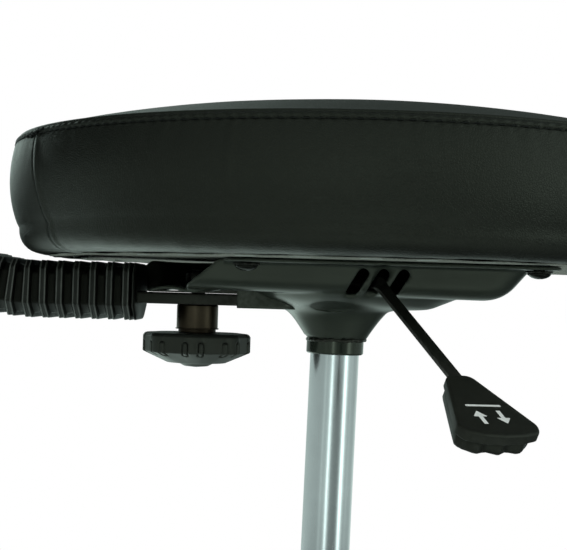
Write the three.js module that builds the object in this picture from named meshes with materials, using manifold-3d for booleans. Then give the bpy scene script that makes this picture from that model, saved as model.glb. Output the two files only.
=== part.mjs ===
// Padded work stool: a round seat on a stamped steel plate, a gas lift, a five-legged base on
// twin-wheel casters, and a backrest on a flat bar.
// Millimetres. +Z is up, +X is the front of the seat, and the valve lever is on the -Y side.
import * as THREE from 'three';
import { mergeVertices } from 'three/addons/utils/BufferGeometryUtils.js';
import Module from 'manifold-3d';

const wasm = await Module();
wasm.setup();

// Driving dimensions. Each group belongs to the piece it is named for.
// Heights of the seat's pieces count from the datum, a point on the column's axis.

const fit = {
  gap: 0.3, // between two parts that rest on each other
  slide: 0.5, // around a part that slides or turns
  overrun: 2, // how far a cut passes the face that it opens
};

const wheel = {
  radius: 25,
  width: 17,
  tread_edge: 2,
  hub_recess: 3,
  count: 5,
  segments: 14,
};

const caster = {
  orbit: 290, // from the column's axis to each stem
  trail: 18, // from the stem back to the axle
  web: 7,
  hood_wall: 2.3,
  hood_clearance: 1.2,
  hood_reach: 2, // how far the hood's sides stand past the wheels
  skirt_drop: 8,
  axle_radius: 3,
  boss_radius: 10,
  boss_height: 11,
  stem_seat_depth: 14,
  stem_radius: 4,
  collar_radius: 8,
  collar_height: 3.4,
  pin_radius: 5.5,
  pin_length: 20,
};

const star = {
  hub_radius: 36,
  hub_top_radius: 29.5,
  hub_height: 60,
  leg_root_top: 54,
  leg_root_width: 42,
  leg_root_lift: 8,
  leg_tip_top: 26,
  leg_tip_width: 30,
  leg_wall: 3.5,
  leg_crown_share: 0.62,
  leg_shoulder_share: 0.7,
  leg_waist_share: 0.4,
  leg_stations_share: [0, 0.45, 1],
  hub_chamfer: 2,
  end_radius: 17,
  end_drop: 1, // the round end's top, below the leg's
  pocket_inset: 46,
};

const column = {
  radius: 25,
  foot_radius: 23.4,
  foot_drop: 2, // below the hub
  wall: 2,
  floor: 4,
  length: 258,
  crimp: 1.2,
};

const lift = {
  stroke: 140,
  closed_gap: 7, // tube left in sight when the seat is at its lowest
  tube_radius: 14,
  tube_wall: 2,
  tube_overlap: 80, // tube inside the column when the seat is at its highest
  tube_crown: 3,
  guide_height: 18,
  rod_radius: 5,
  rod_shoulder_radius: 8,
  rod_shoulder: 5,
  rod_tail: 9,
  piston_height: 14,
  bearing_radius: 13,
  bearing_height: 5,
  clip_radius: 9,
  clip_height: 2,
  bush_flange: 3,
  bush_length: 64,
  button_radius: 4.2,
  button_stem: 16,
  button_head: 4.5,
  button_tip_share: 0.8,
};

const socket = {
  drop: 35, // its lower end, below the datum
  rise: 3, // its upper end, above the datum
  radius: 16.6,
  lower_radius: 16.4,
  chamfer: 0.8,
};

const plate = {
  sheet: 2,
  top: 17,
  bottom: -0.8,
  fall: 1.2, // how much lower the floor is at the front than over the column
  flange_rear: -63,
  flange_front: 114,
  flange_half: 88,
  flange_corner: 16,
  wall_top_front: 103,
  wall_top_half: 66,
  wall_foot_front: 87,
  wall_foot_half: 58,
  wall_corner: 16,
  foot_fold: 3,
  rear: -86,
  wall_rear_top: -61,
  tongue_end: -107.5,
  tongue_root: -70,
  tongue_half: 33,
  tongue_flare_share: 0.3,
  tongue_wave: 26,
  tongue_swell: 0.9,
  tongue_level: -0.1,
  slot_width: 5.5,
  slot_length: 15.8,
  slot_pitch: 10.8,
  slot_first: 8.1,
  slot_level: 5.7,
  slot_lean_deg: 60,
  slot_count: 3,
  dimple_length: 23,
  dimple_height: 5,
  dimple_depth: 1.2,
  dimple_level: -7.4,
  dimple_shift: -3.5,
};

// The funnel's outer skin, as radius and height, from the weld up to the pan.
const funnel = {
  neck_radius: 19.2,
  neck_level: -26,
  throat_radius: 21.6,
  throat_level: -20,
  bell_radius: 26.6,
  bell_level: -13,
  flare_radius: 32,
  flare_level: -9.4,
  skirt_radius: 43,
  skirt_level: -5.6,
  brow_radius: 49,
  brow_level: -3,
  rim_radius: 54,
  rim_sink_share: 0.5, // of the sheet, how far the rim goes into the pan's floor
  front_skirt_radius: 51,
  front_skirt_level: -8.2,
  front_brow_radius: 60,
  front_brow_level: -5.2,
  front_rim_radius: 70,
  inset_shares: [0, 0, 0.5, 0.7, 0.85, 0.9, 1],
  bead_radius: 1.6,
};

const bar = {
  thickness: 6.35,
  width: 50.8,
  front: -34.3,
  top: -2.3,
  elbow_start: -170,
  elbow_radius: 120,
  upright: 270, // straight length above the bend
  slot_width: 8.8,
  travel: 15,
  edge: 1,
};

const channel = {
  sheet: 1,
  rear: -57,
};

const boot = {
  start: -108.4,
  pitch: 9.2,
  half_width: 34,
  shoulder_half: 28,
  keel_half: 20,
  top: 16.2,
  shoulder: 12,
  flank: -7.6,
  keel: -16.2,
  valley: 3,
  valley_share: 0.35, // of the pitch, from a rib's end to the valley's floor
  wall: 3,
  cuff: 4,
  rib_count: 30,
  bore_step_count: 5,
};

const screw = {
  front: 101.6,
  rear: -50.8,
  half_spacing: 76.2,
  radius: 3,
  length: 12,
  washer_radius: 7.2,
  washer: 1.2,
  head_radius: 6.2,
  head_height: 3.2,
};

const seat = {
  centre: 8.1, // ahead of the column's axis
  tilt_deg: 1.15,
  seam_radius: 191,
  seam_level: 79.7,
  crown: 21,
  crown_power: 2.6,
  crown_spread: 1.4, // more than 1 gathers the crown's rings at the seam
  side_foot_radius: 189.6,
  side_foot_level: 25,
  side_bulge: 4.9,
  side_power: 0.75,
  foot_fold: 8,
  lip_radius: 167.5,
  cover: 1.2,
  dust_cover: 0.8,
  board: 12,
  seam_ridge: 0.8,
};

const lever = {
  width: 7,
  thickness: 2.2,
  over_button: 5.2, // from the middle of the strip's sheet down to the datum plane
  tail: 12, // past the button
  gate_rise: 0.3, // above the middle of its slot, along the slot
  gate_run: 8, // straight length inside the wall
  neck_out: 1, // from the wall to the start of the bend
  elbow: 12,
  arm: 96,
  lead_deg: 66, // the arm's heading in plan, from +X towards -Y
  fall_deg: 29,
};

const paddle = {
  length: 50,
  neck_half: 6.8,
  tip_half: 21.5,
  tip_round: 9,
  tip_bow: 4,
  tip_power: 0.5,
  roll_deg: 2,
  top: 2.6, // its top face, above the middle of the strip
  cap: 4.2,
  grip: 6.8,
  grip_inset: 1.6,
  finger_depth: 1.6,
  socket_depth: 16,
  finger_count: 6,
};

const clamp = {
  x: -80.5,
  spacer_radius: 11.9,
  spacer_length: 13.4,
  ring_radius: 10.8,
  ring_length: 2.5,
  lip: 0.6,
  knob_radius: 30.4,
  knob_rim: 10.8,
  knob_cone: 6.2,
  cone_radius: 17,
  nub: 2.8,
  nub_radius: 8,
  nub_tip_share: 0.7,
  nub_rise_share: 0.4,
  face_lobe_share: 0.6,
  dish: 1.5,
  lobe: 0.8,
  bolt_radius: 4,
  bolt_reach: 12,
  bolt_sink: 9,
  nut_radius: 7.5,
  nut_height: 6.5,
  lobe_count: 8,
};

const back = {
  sleeve_wall: 5,
  sleeve_height: 70,
  plate_width: 96,
  plate_sheet: 3,
  plate_stand: 6,
  centre_level: 300, // above the datum
  boss_radius: 9,
  boss_length: 6,
  knob_radius: 24,
  washer_radius: 10,
  washer: 2,
  bolt_out: 14,
  shell: 5,
  half_width: 180,
  half_height: 105,
  curve_radius: 420,
  pad: 34,
  pad_edge: 20,
  outline_power: 3.4,
  edge_power: 3,
  rings_share: [0.02, 0.35, 0.7, 1],
  side_shares: [0.3, 0.7],
  crown_shares: [1, 0.9, 0.72, 0.5, 0.25, 0.02],
};

// How many facets the round pieces have.
const facets = {
  seat: 36,
  crown: 5,
  side: 5,
  fold: 2,
  funnel: 28,
  tube: 24,
  inner: 14,
  screw: 10,
  knob_lobe: 4,
  corner: 3,
  slot: 4,
  tongue: 9,
  bend: 12,
  arch: 8,
  pocket: 12,
  stem: 8,
  back: 28,
  nut: 6,
  hub: 20,
  dome: 3,
  bead: 4,
  dimple: 10,
  lever_run: 4,
  lever_bend: 6,
  paddle: 18,
};

// Places worked out from the sizes above.
const wheel_flat = wheel.radius * Math.cos(Math.PI / wheel.segments);
const axle_z = wheel_flat;
const hood_radius = wheel.radius + caster.hood_clearance + caster.hood_wall;
const boss_top = axle_z + hood_radius - caster.hood_wall * 2 + caster.boss_height;
const leg_foot_z = boss_top + caster.collar_height + 2 * fit.gap;
const column_foot_z = leg_foot_z - column.foot_drop;
const column_top_z = column_foot_z + column.length;
const bush_top_z = column_top_z + fit.gap + lift.bush_flange;
const datum_z = bush_top_z + lift.closed_gap + lift.stroke + socket.drop;
const tilt = THREE.MathUtils.degToRad(seat.tilt_deg);
const bar_middle = bar.top - bar.thickness / 2;
const bar_foot = bar.top - bar.thickness;
const seat_floor = plate.top + fit.gap;

// Materials: colour, roughness and metalness as seen.
const finish = {
  vinyl: new THREE.MeshStandardMaterial({ color: 0x14171a, roughness: 0.45, metalness: 0 }),
  foam: new THREE.MeshStandardMaterial({ color: 0xd9cf9f, roughness: 0.95, metalness: 0 }),
  plywood: new THREE.MeshStandardMaterial({ color: 0xb48a58, roughness: 0.8, metalness: 0 }),
  felt: new THREE.MeshStandardMaterial({ color: 0x1c1d1e, roughness: 0.95, metalness: 0 }),
  black_steel: new THREE.MeshStandardMaterial({ color: 0x17191b, roughness: 0.4, metalness: 0.2 }),
  chrome: new THREE.MeshStandardMaterial({ color: 0xc9ced3, roughness: 0.15, metalness: 1 }),
  steel: new THREE.MeshStandardMaterial({ color: 0x8d9196, roughness: 0.35, metalness: 1 }),
  rubber: new THREE.MeshStandardMaterial({ color: 0x17191a, roughness: 0.6, metalness: 0 }),
  plastic: new THREE.MeshStandardMaterial({ color: 0x1b1e20, roughness: 0.5, metalness: 0 }),
  brown: new THREE.MeshStandardMaterial({ color: 0x3b2c22, roughness: 0.5, metalness: 0.1 }),
};

// Closes a geometry: shared vertices are merged, flat triangles go, and its faces point out.
function closed(geometry) {
  const bare = geometry.clone();
  bare.deleteAttribute('normal');
  bare.deleteAttribute('uv');
  const merged = mergeVertices(bare);
  const place = merged.getAttribute('position');
  const corner = (k) => new THREE.Vector3().fromBufferAttribute(place, k);
  const kept = [];
  let volume = 0;
  for (let t = 0; t < merged.index.count; t += 3) {
    const [a, b, c] = [0, 1, 2].map((k) => merged.index.getX(t + k));
    if (a === b || b === c || c === a) continue;
    kept.push(a, b, c);
    volume += corner(a).dot(corner(b).cross(corner(c)));
  }
  merged.setIndex(volume < 0 ? kept.reverse() : kept);
  return merged;
}

function toSolid(geometry) {
  const shape = closed(geometry);
  return new wasm.Manifold(new wasm.Mesh({
    numProp: 3,
    vertProperties: new Float32Array(shape.getAttribute('position').array),
    triVerts: new Uint32Array(shape.index.array),
  }));
}

function toGeometry(solid) {
  const mesh = solid.getMesh();
  const geometry = new THREE.BufferGeometry();
  geometry.setAttribute('position', new THREE.BufferAttribute(new Float32Array(mesh.vertProperties), 3));
  geometry.setIndex(Array.from(mesh.triVerts));
  return geometry;
}

const join = (...shapes) => toGeometry(shapes.map(toSolid).reduce((a, b) => a.add(b)));
const cut = (shape, ...tools) => (
  toGeometry(tools.map(toSolid).reduce((a, b) => a.subtract(b), toSolid(shape)))
);
const overlap = (shape, other) => toGeometry(toSolid(shape).intersect(toSolid(other)));

// A body of revolution about Z, from [radius, height] points.
function turned(points, segments) {
  const profile = points.map(([radius, height]) => new THREE.Vector2(radius, height));
  return closed(new THREE.LatheGeometry(profile, segments).rotateX(Math.PI / 2));
}

// A ring about Z, from its [radius, height] points in order.
const turnedRing = (points, segments) => turned([...points, points[0]], segments);

function pin(radius, low, high, segments = facets.screw) {
  return turned([[0, low], [radius, low], [radius, high], [0, high]], segments);
}

// A body through rings of points that all have as many points, closed at both ends.
function loft(rings, loop = false) {
  const count = rings[0].length;
  const last = (rings.length - 1) * count;
  const index = [];
  const strips = loop ? rings.length : rings.length - 1;
  for (let r = 0; r < strips; r += 1) {
    const here = r * count;
    const next = ((r + 1) % rings.length) * count;
    for (let k = 0; k < count; k += 1) {
      const side = (k + 1) % count;
      index.push(here + k, here + side, next + k, here + side, next + side, next + k);
    }
  }
  for (let k = 1; !loop && k + 1 < count; k += 1) {
    index.push(0, k + 1, k, last, last + k, last + k + 1);
  }
  const geometry = new THREE.BufferGeometry();
  const places = rings.flat().flatMap((p) => [p.x, p.y, p.z]);
  geometry.setAttribute('position', new THREE.Float32BufferAttribute(places, 3));
  geometry.setIndex(index);
  return closed(geometry);
}

// Points of a rectangle with round corners, the same number for any size.
function roundedRectangle(x0, x1, y0, y1, radius, steps = facets.corner) {
  const points = [];
  const corners = [[x1, y1], [x0, y1], [x0, y0], [x1, y0]];
  corners.forEach(([x, y], quarter) => {
    const cx = x + (x === x1 ? -radius : radius);
    const cy = y + (y === y1 ? -radius : radius);
    for (let k = 0; k <= steps; k += 1) {
      const angle = (Math.PI / 2) * (quarter + k / steps);
      points.push([cx + radius * Math.cos(angle), cy + radius * Math.sin(angle)]);
    }
  });
  return points;
}

const level = (points, z) => points.map(([x, y]) => new THREE.Vector3(x, y, z));

// A flat outline in X and Y, raised from one height to another.
function slab(points, low, high) {
  return loft([level(points, low), level(points, high)]);
}

function block(x0, x1, half, low, high) {
  return slab([[x0, -half], [x1, -half], [x1, half], [x0, half]], low, high);
}

// A flat outline in X and Z, drawn out along Y. It need not be convex.
function across(points, y0, y1) {
  const outline = new THREE.Shape(points.map(([x, z]) => new THREE.Vector2(x, z)));
  const body = new THREE.ExtrudeGeometry(outline, { depth: y1 - y0, bevelEnabled: false });
  return closed(body.rotateX(Math.PI / 2).translate(0, y1, 0));
}

// The seat cushion's skin, set in by the given amount: [radius, height] points from the top
// of the crown, over the sewn edge and down the side.
function seatSkin(inset) {
  const crown_steps = facets.crown;
  const side_steps = facets.side;
  const points = [];
  const edge = seat.seam_radius - inset;
  for (let k = 0; k < crown_steps; k += 1) {
    const share = 1 - (1 - k / crown_steps) ** seat.crown_spread;
    const rise = seat.crown * (1 - share ** seat.crown_power);
    points.push([edge * share, seat.seam_level - inset + rise]);
  }
  points.push([edge, seat.seam_level - inset + seat.seam_ridge]);
  for (let k = 1; k <= side_steps; k += 1) {
    const share = k / side_steps;
    const lean = THREE.MathUtils.lerp(seat.seam_radius, seat.side_foot_radius, share);
    const bulge = seat.side_bulge * Math.sin(Math.PI * share) ** seat.side_power;
    const height = THREE.MathUtils.lerp(seat.seam_level - inset, seat.side_foot_level, share);
    points.push([lean + bulge - inset, height]);
  }
  return points;
}

// The fold under the cushion's side, down to the height of the lip.
function seatFold(inset) {
  const steps = facets.fold;
  const points = [];
  const reach = seat.foot_fold - inset;
  const drop = seat.side_foot_level - plate.top - inset;
  for (let k = 1; k <= steps; k += 1) {
    const angle = (Math.PI / 2) * (k / steps);
    points.push([
      seat.side_foot_radius - seat.foot_fold + reach * Math.cos(angle),
      seat.side_foot_level - drop * Math.sin(angle),
    ]);
  }
  return points;
}

function seatCover() {
  const outer = [...seatSkin(0), ...seatFold(0), [seat.lip_radius, plate.top]];
  const inner = [...seatSkin(seat.cover), ...seatFold(seat.cover)];
  inner.push([seat.lip_radius, plate.top + seat.cover]);
  return turned([...outer, ...inner.reverse()], facets.seat).translate(seat.centre, 0, 0);
}

const board_floor = plate.top + seat.cover + fit.gap;
const board_radius = seat.side_foot_radius - seat.foot_fold - fit.slide;

function seatBoard() {
  const disc = turned([
    [0, board_floor],
    [board_radius, board_floor],
    [board_radius, board_floor + seat.board],
    [0, board_floor + seat.board],
  ], facets.seat).translate(seat.centre, 0, 0);
  return cut(disc, ...screwHoles(board_floor - fit.overrun, screwTip() + fit.gap));
}

function seatFoam() {
  const inset = seat.cover + fit.gap;
  const foot = board_floor + seat.board + fit.gap;
  const skin = seatSkin(inset);
  const over = skin.filter(([, z]) => z > foot);
  const [high, low] = [over[over.length - 1], skin[over.length]];
  const rim = THREE.MathUtils.mapLinear(foot, high[1], low[1], high[0], low[0]);
  return turned([...over, [rim, foot], [0, foot]], facets.seat).translate(seat.centre, 0, 0);
}

function dustCover() {
  const sheet = pin(seat.lip_radius - fit.slide, seat_floor, seat_floor + seat.dust_cover, facets.seat);
  return cut(sheet.translate(seat.centre, 0, 0), ...screwHoles(seat_floor - fit.overrun, board_floor));
}

const screwPlaces = () => [
  [screw.front, screw.half_spacing],
  [screw.rear, screw.half_spacing],
  [screw.rear, -screw.half_spacing],
  [screw.front, -screw.half_spacing],
];

const screwTip = () => plate.top - plate.sheet + screw.length;

const screwHoles = (low, high) => screwPlaces().map(([x, y]) => (
  pin(screw.radius + fit.gap, low, high, facets.stem).translate(x, y, 0)
));

function plateScrew() {
  const seat_z = plate.top - plate.sheet - fit.gap;
  const head_top = seat_z - screw.washer;
  const dome = Array.from({ length: facets.dome }, (_, k) => {
    const angle = (Math.PI / 2) * ((k + 1) / facets.dome);
    return [screw.head_radius * Math.sin(angle), head_top - screw.head_height * Math.cos(angle)];
  });
  return turned([
    [0, head_top - screw.head_height],
    ...dome,
    [screw.washer_radius, head_top],
    [screw.washer_radius, seat_z],
    [screw.radius, seat_z],
    [screw.radius, screwTip()],
    [0, screwTip()],
  ], facets.screw);
}

// The pan's floor falls towards the front.
const floorLevel = (points, z) => points.map(([x, y]) => (
  new THREE.Vector3(x, y, z - (plate.fall * x) / plate.wall_foot_front)
));

// The pan under the seat: sloping walls with a folded foot, set in by the sheet for its inside.
function pan(inset, rear, foot, top) {
  const outline = (front, half, fold) => roundedRectangle(
    rear + fold,
    front - inset - fold,
    -half + inset + fold,
    half - inset - fold,
    plate.wall_corner - inset,
  );
  return loft([
    floorLevel(outline(plate.wall_foot_front, plate.wall_foot_half, plate.foot_fold), foot),
    floorLevel(outline(plate.wall_foot_front, plate.wall_foot_half, 0), foot + plate.foot_fold),
    level(outline(plate.wall_top_front, plate.wall_top_half, 0), top),
  ]);
}

// The funnel's skin, set in by the given amount, as [radius, height] points from the weld to the
// pan. It is fuller at the front, where the swell is 1, than at the rear and the sides.
function funnelSkin(inset, swell) {
  const blend = (rear, front) => THREE.MathUtils.lerp(rear, front, swell);
  const points = [
    [funnel.neck_radius, funnel.neck_level],
    [funnel.throat_radius, funnel.throat_level],
    [funnel.bell_radius, funnel.bell_level],
    [funnel.flare_radius, funnel.flare_level],
    [
      blend(funnel.skirt_radius, funnel.front_skirt_radius),
      blend(funnel.skirt_level, funnel.front_skirt_level),
    ],
    [
      blend(funnel.brow_radius, funnel.front_brow_radius),
      blend(funnel.brow_level, funnel.front_brow_level),
    ],
    [
      blend(funnel.rim_radius, funnel.front_rim_radius),
      plate.bottom + plate.sheet * funnel.rim_sink_share - plate.fall * swell,
    ],
  ];
  return points.map(([radius, z], k) => [radius - inset, z + inset * funnel.inset_shares[k]]);
}

// Rings about Z from a profile that depends on the swell towards the front.
function swollen(profile) {
  const rays = Array.from({ length: facets.funnel }, (_, k) => {
    const angle = (2 * Math.PI * k) / facets.funnel;
    return profile(Math.max(Math.cos(angle), 0) ** 2).map(([radius, z]) => (
      new THREE.Vector3(radius * Math.cos(angle), radius * Math.sin(angle), z)
    ));
  });
  return loft(rays[0].map((_, ring) => rays.map((ray) => ray[ring])));
}

// The funnel and the weld under it, filled up to the pan.
function funnelPlug() {
  const bead = Array.from({ length: facets.bead + 1 }, (_, k) => {
    const angle = Math.PI * (1 - k / facets.bead);
    return [
      funnel.neck_radius - plate.sheet + funnel.bead_radius * Math.cos(angle),
      funnel.neck_level - funnel.bead_radius * Math.sin(angle),
    ];
  });
  return swollen((swell) => [...bead, ...funnelSkin(0, swell)]);
}

function funnelHollow() {
  return swollen((swell) => {
    const skin = funnelSkin(plate.sheet, swell);
    return [...skin, [skin[skin.length - 1][0], plate.top]];
  });
}

// The wavy sheet that runs back under the bar's clamp.
function tongue() {
  const wave = (x) => {
    const turns = (x - plate.tongue_end) / plate.tongue_wave;
    return plate.tongue_level - plate.tongue_swell * Math.cos(2 * Math.PI * turns);
  };
  const stations = [];
  for (let k = 0; k <= facets.tongue; k += 1) {
    stations.push(THREE.MathUtils.lerp(plate.tongue_end, plate.tongue_root, k / facets.tongue));
  }
  const lower = stations.map((x) => [x, wave(x) - plate.sheet / 2]);
  const upper = stations.map((x) => [x, wave(x) + plate.sheet / 2]).reverse();
  const strip = across([...lower, ...upper], -plate.wall_foot_half, plate.wall_foot_half);
  const root_half = plate.wall_foot_half - plate.foot_fold;
  const middle = (plate.tongue_end + plate.tongue_root) / 2;
  const middle_half = THREE.MathUtils.lerp(plate.tongue_half, root_half, plate.tongue_flare_share);
  const plan = [
    [plate.tongue_root, -root_half],
    [middle, -middle_half],
    [plate.tongue_end, -plate.tongue_half],
    [plate.tongue_end, plate.tongue_half],
    [middle, middle_half],
    [plate.tongue_root, root_half],
  ];
  const depth = plate.sheet * 2;
  return overlap(strip, slab(plan, -depth, depth));
}

const slotCentre = (k) => plate.slot_first + plate.slot_pitch * k;

// A slanted slot's cutter: a bar with round ends that passes through the near wall.
function slotCutter(k) {
  const half = (plate.slot_length - plate.slot_width) / 2;
  const radius = plate.slot_width / 2;
  const outline = [];
  for (let step = 0; step <= facets.slot; step += 1) {
    const angle = Math.PI * (step / facets.slot);
    outline.push([radius * Math.cos(angle), half + radius * Math.sin(angle)]);
  }
  for (let step = 0; step <= facets.slot; step += 1) {
    const angle = Math.PI * (1 + step / facets.slot);
    outline.push([radius * Math.cos(angle), -half + radius * Math.sin(angle)]);
  }
  const lean = THREE.MathUtils.degToRad(90 - plate.slot_lean_deg);
  const y0 = -plate.wall_top_half - fit.overrun;
  const y1 = -plate.wall_foot_half + plate.sheet + fit.overrun * 2;
  const body = across(outline, y0, y1).rotateY(lean);
  return body.translate(slotCentre(k), 0, plate.slot_level);
}

// The top of the pan's sheet at its rear end.
const rearFloor = () => plate.bottom + plate.sheet - (plate.fall * plate.rear) / plate.wall_foot_front;

function seatPlate() {
  const flange = slab(roundedRectangle(
    plate.flange_rear,
    plate.flange_front,
    -plate.flange_half,
    plate.flange_half,
    plate.flange_corner,
  ), plate.top - plate.sheet, plate.top);
  const body = join(pan(0, plate.rear, plate.bottom, plate.top), flange);
  const inside = pan(
    plate.sheet,
    plate.rear - plate.wall_corner,
    plate.bottom + plate.sheet,
    plate.top + fit.overrun,
  );
  const floor = rearFloor();
  const rear_cut = across([
    [plate.wall_rear_top, plate.top + fit.overrun],
    [plate.rear + plate.foot_fold, floor],
    [plate.rear - fit.overrun, floor],
    [plate.rear - fit.overrun, plate.top + fit.overrun],
  ], -plate.wall_top_half - fit.overrun, plate.wall_top_half + fit.overrun);
  const flange_keep = plate.wall_rear_top - plate.flange_rear;
  const pressed = cut(body, inside, rear_cut.translate(-flange_keep, 0, 0));
  const welded = join(cut(join(pressed, funnelPlug()), funnelHollow()), tongue());
  const bar_way = block(
    plate.tongue_end - fit.overrun,
    bar.front + fit.slide,
    channelHalf() + fit.gap,
    channelFoot() - fit.gap,
    plate.bottom - fit.gap,
  );
  const socket_bore = pin(
    socket.radius + fit.gap,
    -socket.drop - fit.overrun,
    plate.top,
    facets.tube,
  ).rotateY(tilt);
  const dimple = new THREE.SphereGeometry(1, facets.dimple, facets.dimple / 2).scale(
    plate.dimple_length / 2,
    plate.dimple_depth,
    plate.dimple_height / 2,
  ).translate(plate.dimple_shift, -funnel.flare_radius - plate.dimple_depth * 3, plate.dimple_level);
  const slots = Array.from({ length: plate.slot_count }, (_, k) => slotCutter(k));
  const holes = screwHoles(plate.top - plate.sheet * 2, plate.top + fit.overrun);
  const bolt_hole = pin(clamp.bolt_radius + fit.slide, bar.top, plate.top - plate.sheet * 2);
  return cut(welded, bar_way, socket_bore, dimple, ...slots, ...holes, bolt_hole.translate(clamp.x, 0, 0));
}

const channelHalf = () => bar.width / 2 + fit.gap + channel.sheet;
const channelFoot = () => bar_foot - fit.gap - channel.sheet;

function barChannel() {
  const outer = channelHalf();
  const inner = outer - channel.sheet;
  const foot = channelFoot();
  const trough = block(channel.rear, bar.front, outer, foot, bar.top);
  const way = block(
    channel.rear - fit.overrun,
    bar.front + fit.overrun,
    inner,
    foot + channel.sheet,
    bar.top + fit.overrun,
  );
  return cut(trough, way);
}

// The bar's centre line, from its front end: straight back, round the bend, then up.
// It gives a point, the way the bar runs, and the way its inner face looks.
const bar_level_length = bar.front - bar.elbow_start;
const bar_bend_length = (bar.elbow_radius * Math.PI) / 2;
const bar_length = bar_level_length + bar_bend_length + bar.upright;

function barStation(distance) {
  const place = new THREE.Vector3(bar.front - distance, 0, bar_middle);
  let angle = 0;
  if (distance > bar_level_length) {
    const along = distance - bar_level_length;
    angle = Math.min(along / bar.elbow_radius, Math.PI / 2);
    const rest = along - angle * bar.elbow_radius;
    place.x = bar.elbow_start - bar.elbow_radius * Math.sin(angle) - rest * Math.cos(angle);
    place.z = bar_middle + bar.elbow_radius * (1 - Math.cos(angle)) + rest * Math.sin(angle);
  }
  return { place, inward: new THREE.Vector3(Math.sin(angle), 0, Math.cos(angle)) };
}

// A ring across the bar's line, from [side, height] points.
function barRing(distance, points) {
  const { place, inward } = barStation(distance);
  return points.map(([side, height]) => (
    new THREE.Vector3(place.x, side, place.z).addScaledVector(inward, height)
  ));
}

function barSection() {
  const half = bar.width / 2;
  const rise = bar.thickness / 2;
  return [
    [half, -rise + bar.edge],
    [half, rise - bar.edge],
    [half - bar.edge, rise],
    [-half + bar.edge, rise],
    [-half, rise - bar.edge],
    [-half, -rise + bar.edge],
    [-half + bar.edge, -rise],
    [half - bar.edge, -rise],
  ];
}

function jBar() {
  const bend_steps = facets.bend;
  const stations = [0];
  for (let k = 0; k <= bend_steps; k += 1) {
    stations.push(bar_level_length + bar_bend_length * (k / bend_steps));
  }
  stations.push(bar_length);
  const body = loft(stations.map((s) => barRing(s, barSection())));
  const radius = bar.slot_width / 2;
  const slot = slab(roundedRectangle(
    clamp.x - radius,
    clamp.x + bar.travel + radius,
    -radius,
    radius,
    radius,
  ), bar_foot - fit.overrun, bar.top + fit.overrun);
  return cut(body, slot);
}

// The boot's section round the bar: eight points, drawn in by the given amount.
function bootSection(inset) {
  return [
    [boot.half_width - inset, boot.flank],
    [boot.half_width - inset, boot.shoulder - inset],
    [boot.shoulder_half - inset, boot.top - inset],
    [-boot.shoulder_half + inset, boot.top - inset],
    [-boot.half_width + inset, boot.shoulder - inset],
    [-boot.half_width + inset, boot.flank],
    [-boot.keel_half, boot.keel + inset],
    [boot.keel_half, boot.keel + inset],
  ];
}

// The bore hugs the bar at both cuffs and stands off it between them.
function cuffSection() {
  const half = bar.width / 2 + fit.gap;
  const rise = bar.thickness / 2 + fit.gap;
  const flat = half - bar.thickness;
  return [
    [half, -rise],
    [half, rise],
    [flat, rise],
    [-flat, rise],
    [-half, rise],
    [-half, -rise],
    [-flat, -rise],
    [flat, -rise],
  ];
}

function barBoot() {
  const start = bar.front - boot.start;
  const length = boot.cuff * 2 + boot.pitch * boot.rib_count;
  const outer = [[start, bootSection(0)], [start + boot.cuff, bootSection(0)]];
  for (let k = 0; k < boot.rib_count; k += 1) {
    const rib = start + boot.cuff + boot.pitch * k;
    outer.push([rib + boot.pitch * boot.valley_share, bootSection(boot.valley)]);
    outer.push([rib + boot.pitch, bootSection(0)]);
  }
  outer.push([start + length, bootSection(0)]);
  const inner = [[start, cuffSection()], [start + boot.cuff, cuffSection()]];
  const step = boot.pitch * boot.bore_step_count;
  const bore = bootSection(boot.valley + boot.wall);
  for (let s = start + boot.cuff * 2; s < start + length - boot.cuff * 2; s += step) {
    inner.push([s, bore]);
  }
  inner.push([start + length - boot.cuff * 2, bore]);
  inner.push([start + length - boot.cuff, cuffSection()]);
  inner.push([start + length, cuffSection()]);
  return loft([...outer, ...inner.reverse()].map(([s, points]) => barRing(s, points)), true);
}

function clampSpacer() {
  const top = bar_foot - fit.gap;
  const foot = top - clamp.spacer_length;
  const bore = clamp.bolt_radius + fit.gap;
  return turnedRing([
    [bore, top],
    [clamp.spacer_radius, top],
    [clamp.spacer_radius, foot],
    [clamp.spacer_radius + clamp.lip, foot],
    [clamp.spacer_radius + clamp.lip, foot - clamp.lip],
    [clamp.ring_radius, foot - clamp.lip],
    [clamp.ring_radius, foot - clamp.ring_length],
    [bore, foot - clamp.ring_length],
  ], facets.tube).translate(clamp.x, 0, 0);
}

const knob_top = bar_foot - 2 * fit.gap - clamp.spacer_length - clamp.ring_length;

// A lobed body about Z, from [radius, height, lobe share] rings.
function lobed(rings) {
  const steps = clamp.lobe_count * facets.knob_lobe;
  return loft(rings.map(([radius, z, lobe_share]) => {
    const ring = [];
    for (let k = 0; k < steps; k += 1) {
      const angle = (2 * Math.PI * k) / steps;
      const reach = radius + clamp.lobe * lobe_share * Math.cos(clamp.lobe_count * angle);
      ring.push(new THREE.Vector3(reach * Math.cos(angle), reach * Math.sin(angle), z));
    }
    return ring;
  }));
}

function clampKnob() {
  const rim_foot = knob_top - clamp.knob_rim;
  const cone_foot = rim_foot - clamp.knob_cone;
  const rings = [
    [clamp.nub_radius * clamp.nub_tip_share, cone_foot - clamp.nub, 0],
    [clamp.nub_radius, cone_foot - clamp.nub * clamp.nub_rise_share, 0],
    [clamp.cone_radius, cone_foot, 0],
    [clamp.knob_radius, rim_foot, 1],
    [clamp.knob_radius, knob_top - clamp.dish, 1],
    [clamp.knob_radius - clamp.dish, knob_top, clamp.face_lobe_share],
  ];
  const hole = pin(clamp.bolt_radius + fit.gap, knob_top - clamp.bolt_sink - fit.gap, knob_top + fit.overrun);
  return cut(lobed(rings), hole).translate(clamp.x, 0, 0);
}

function clampBolt() {
  return pin(clamp.bolt_radius, knob_top - clamp.bolt_sink, clamp.bolt_reach).translate(clamp.x, 0, 0);
}

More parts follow.
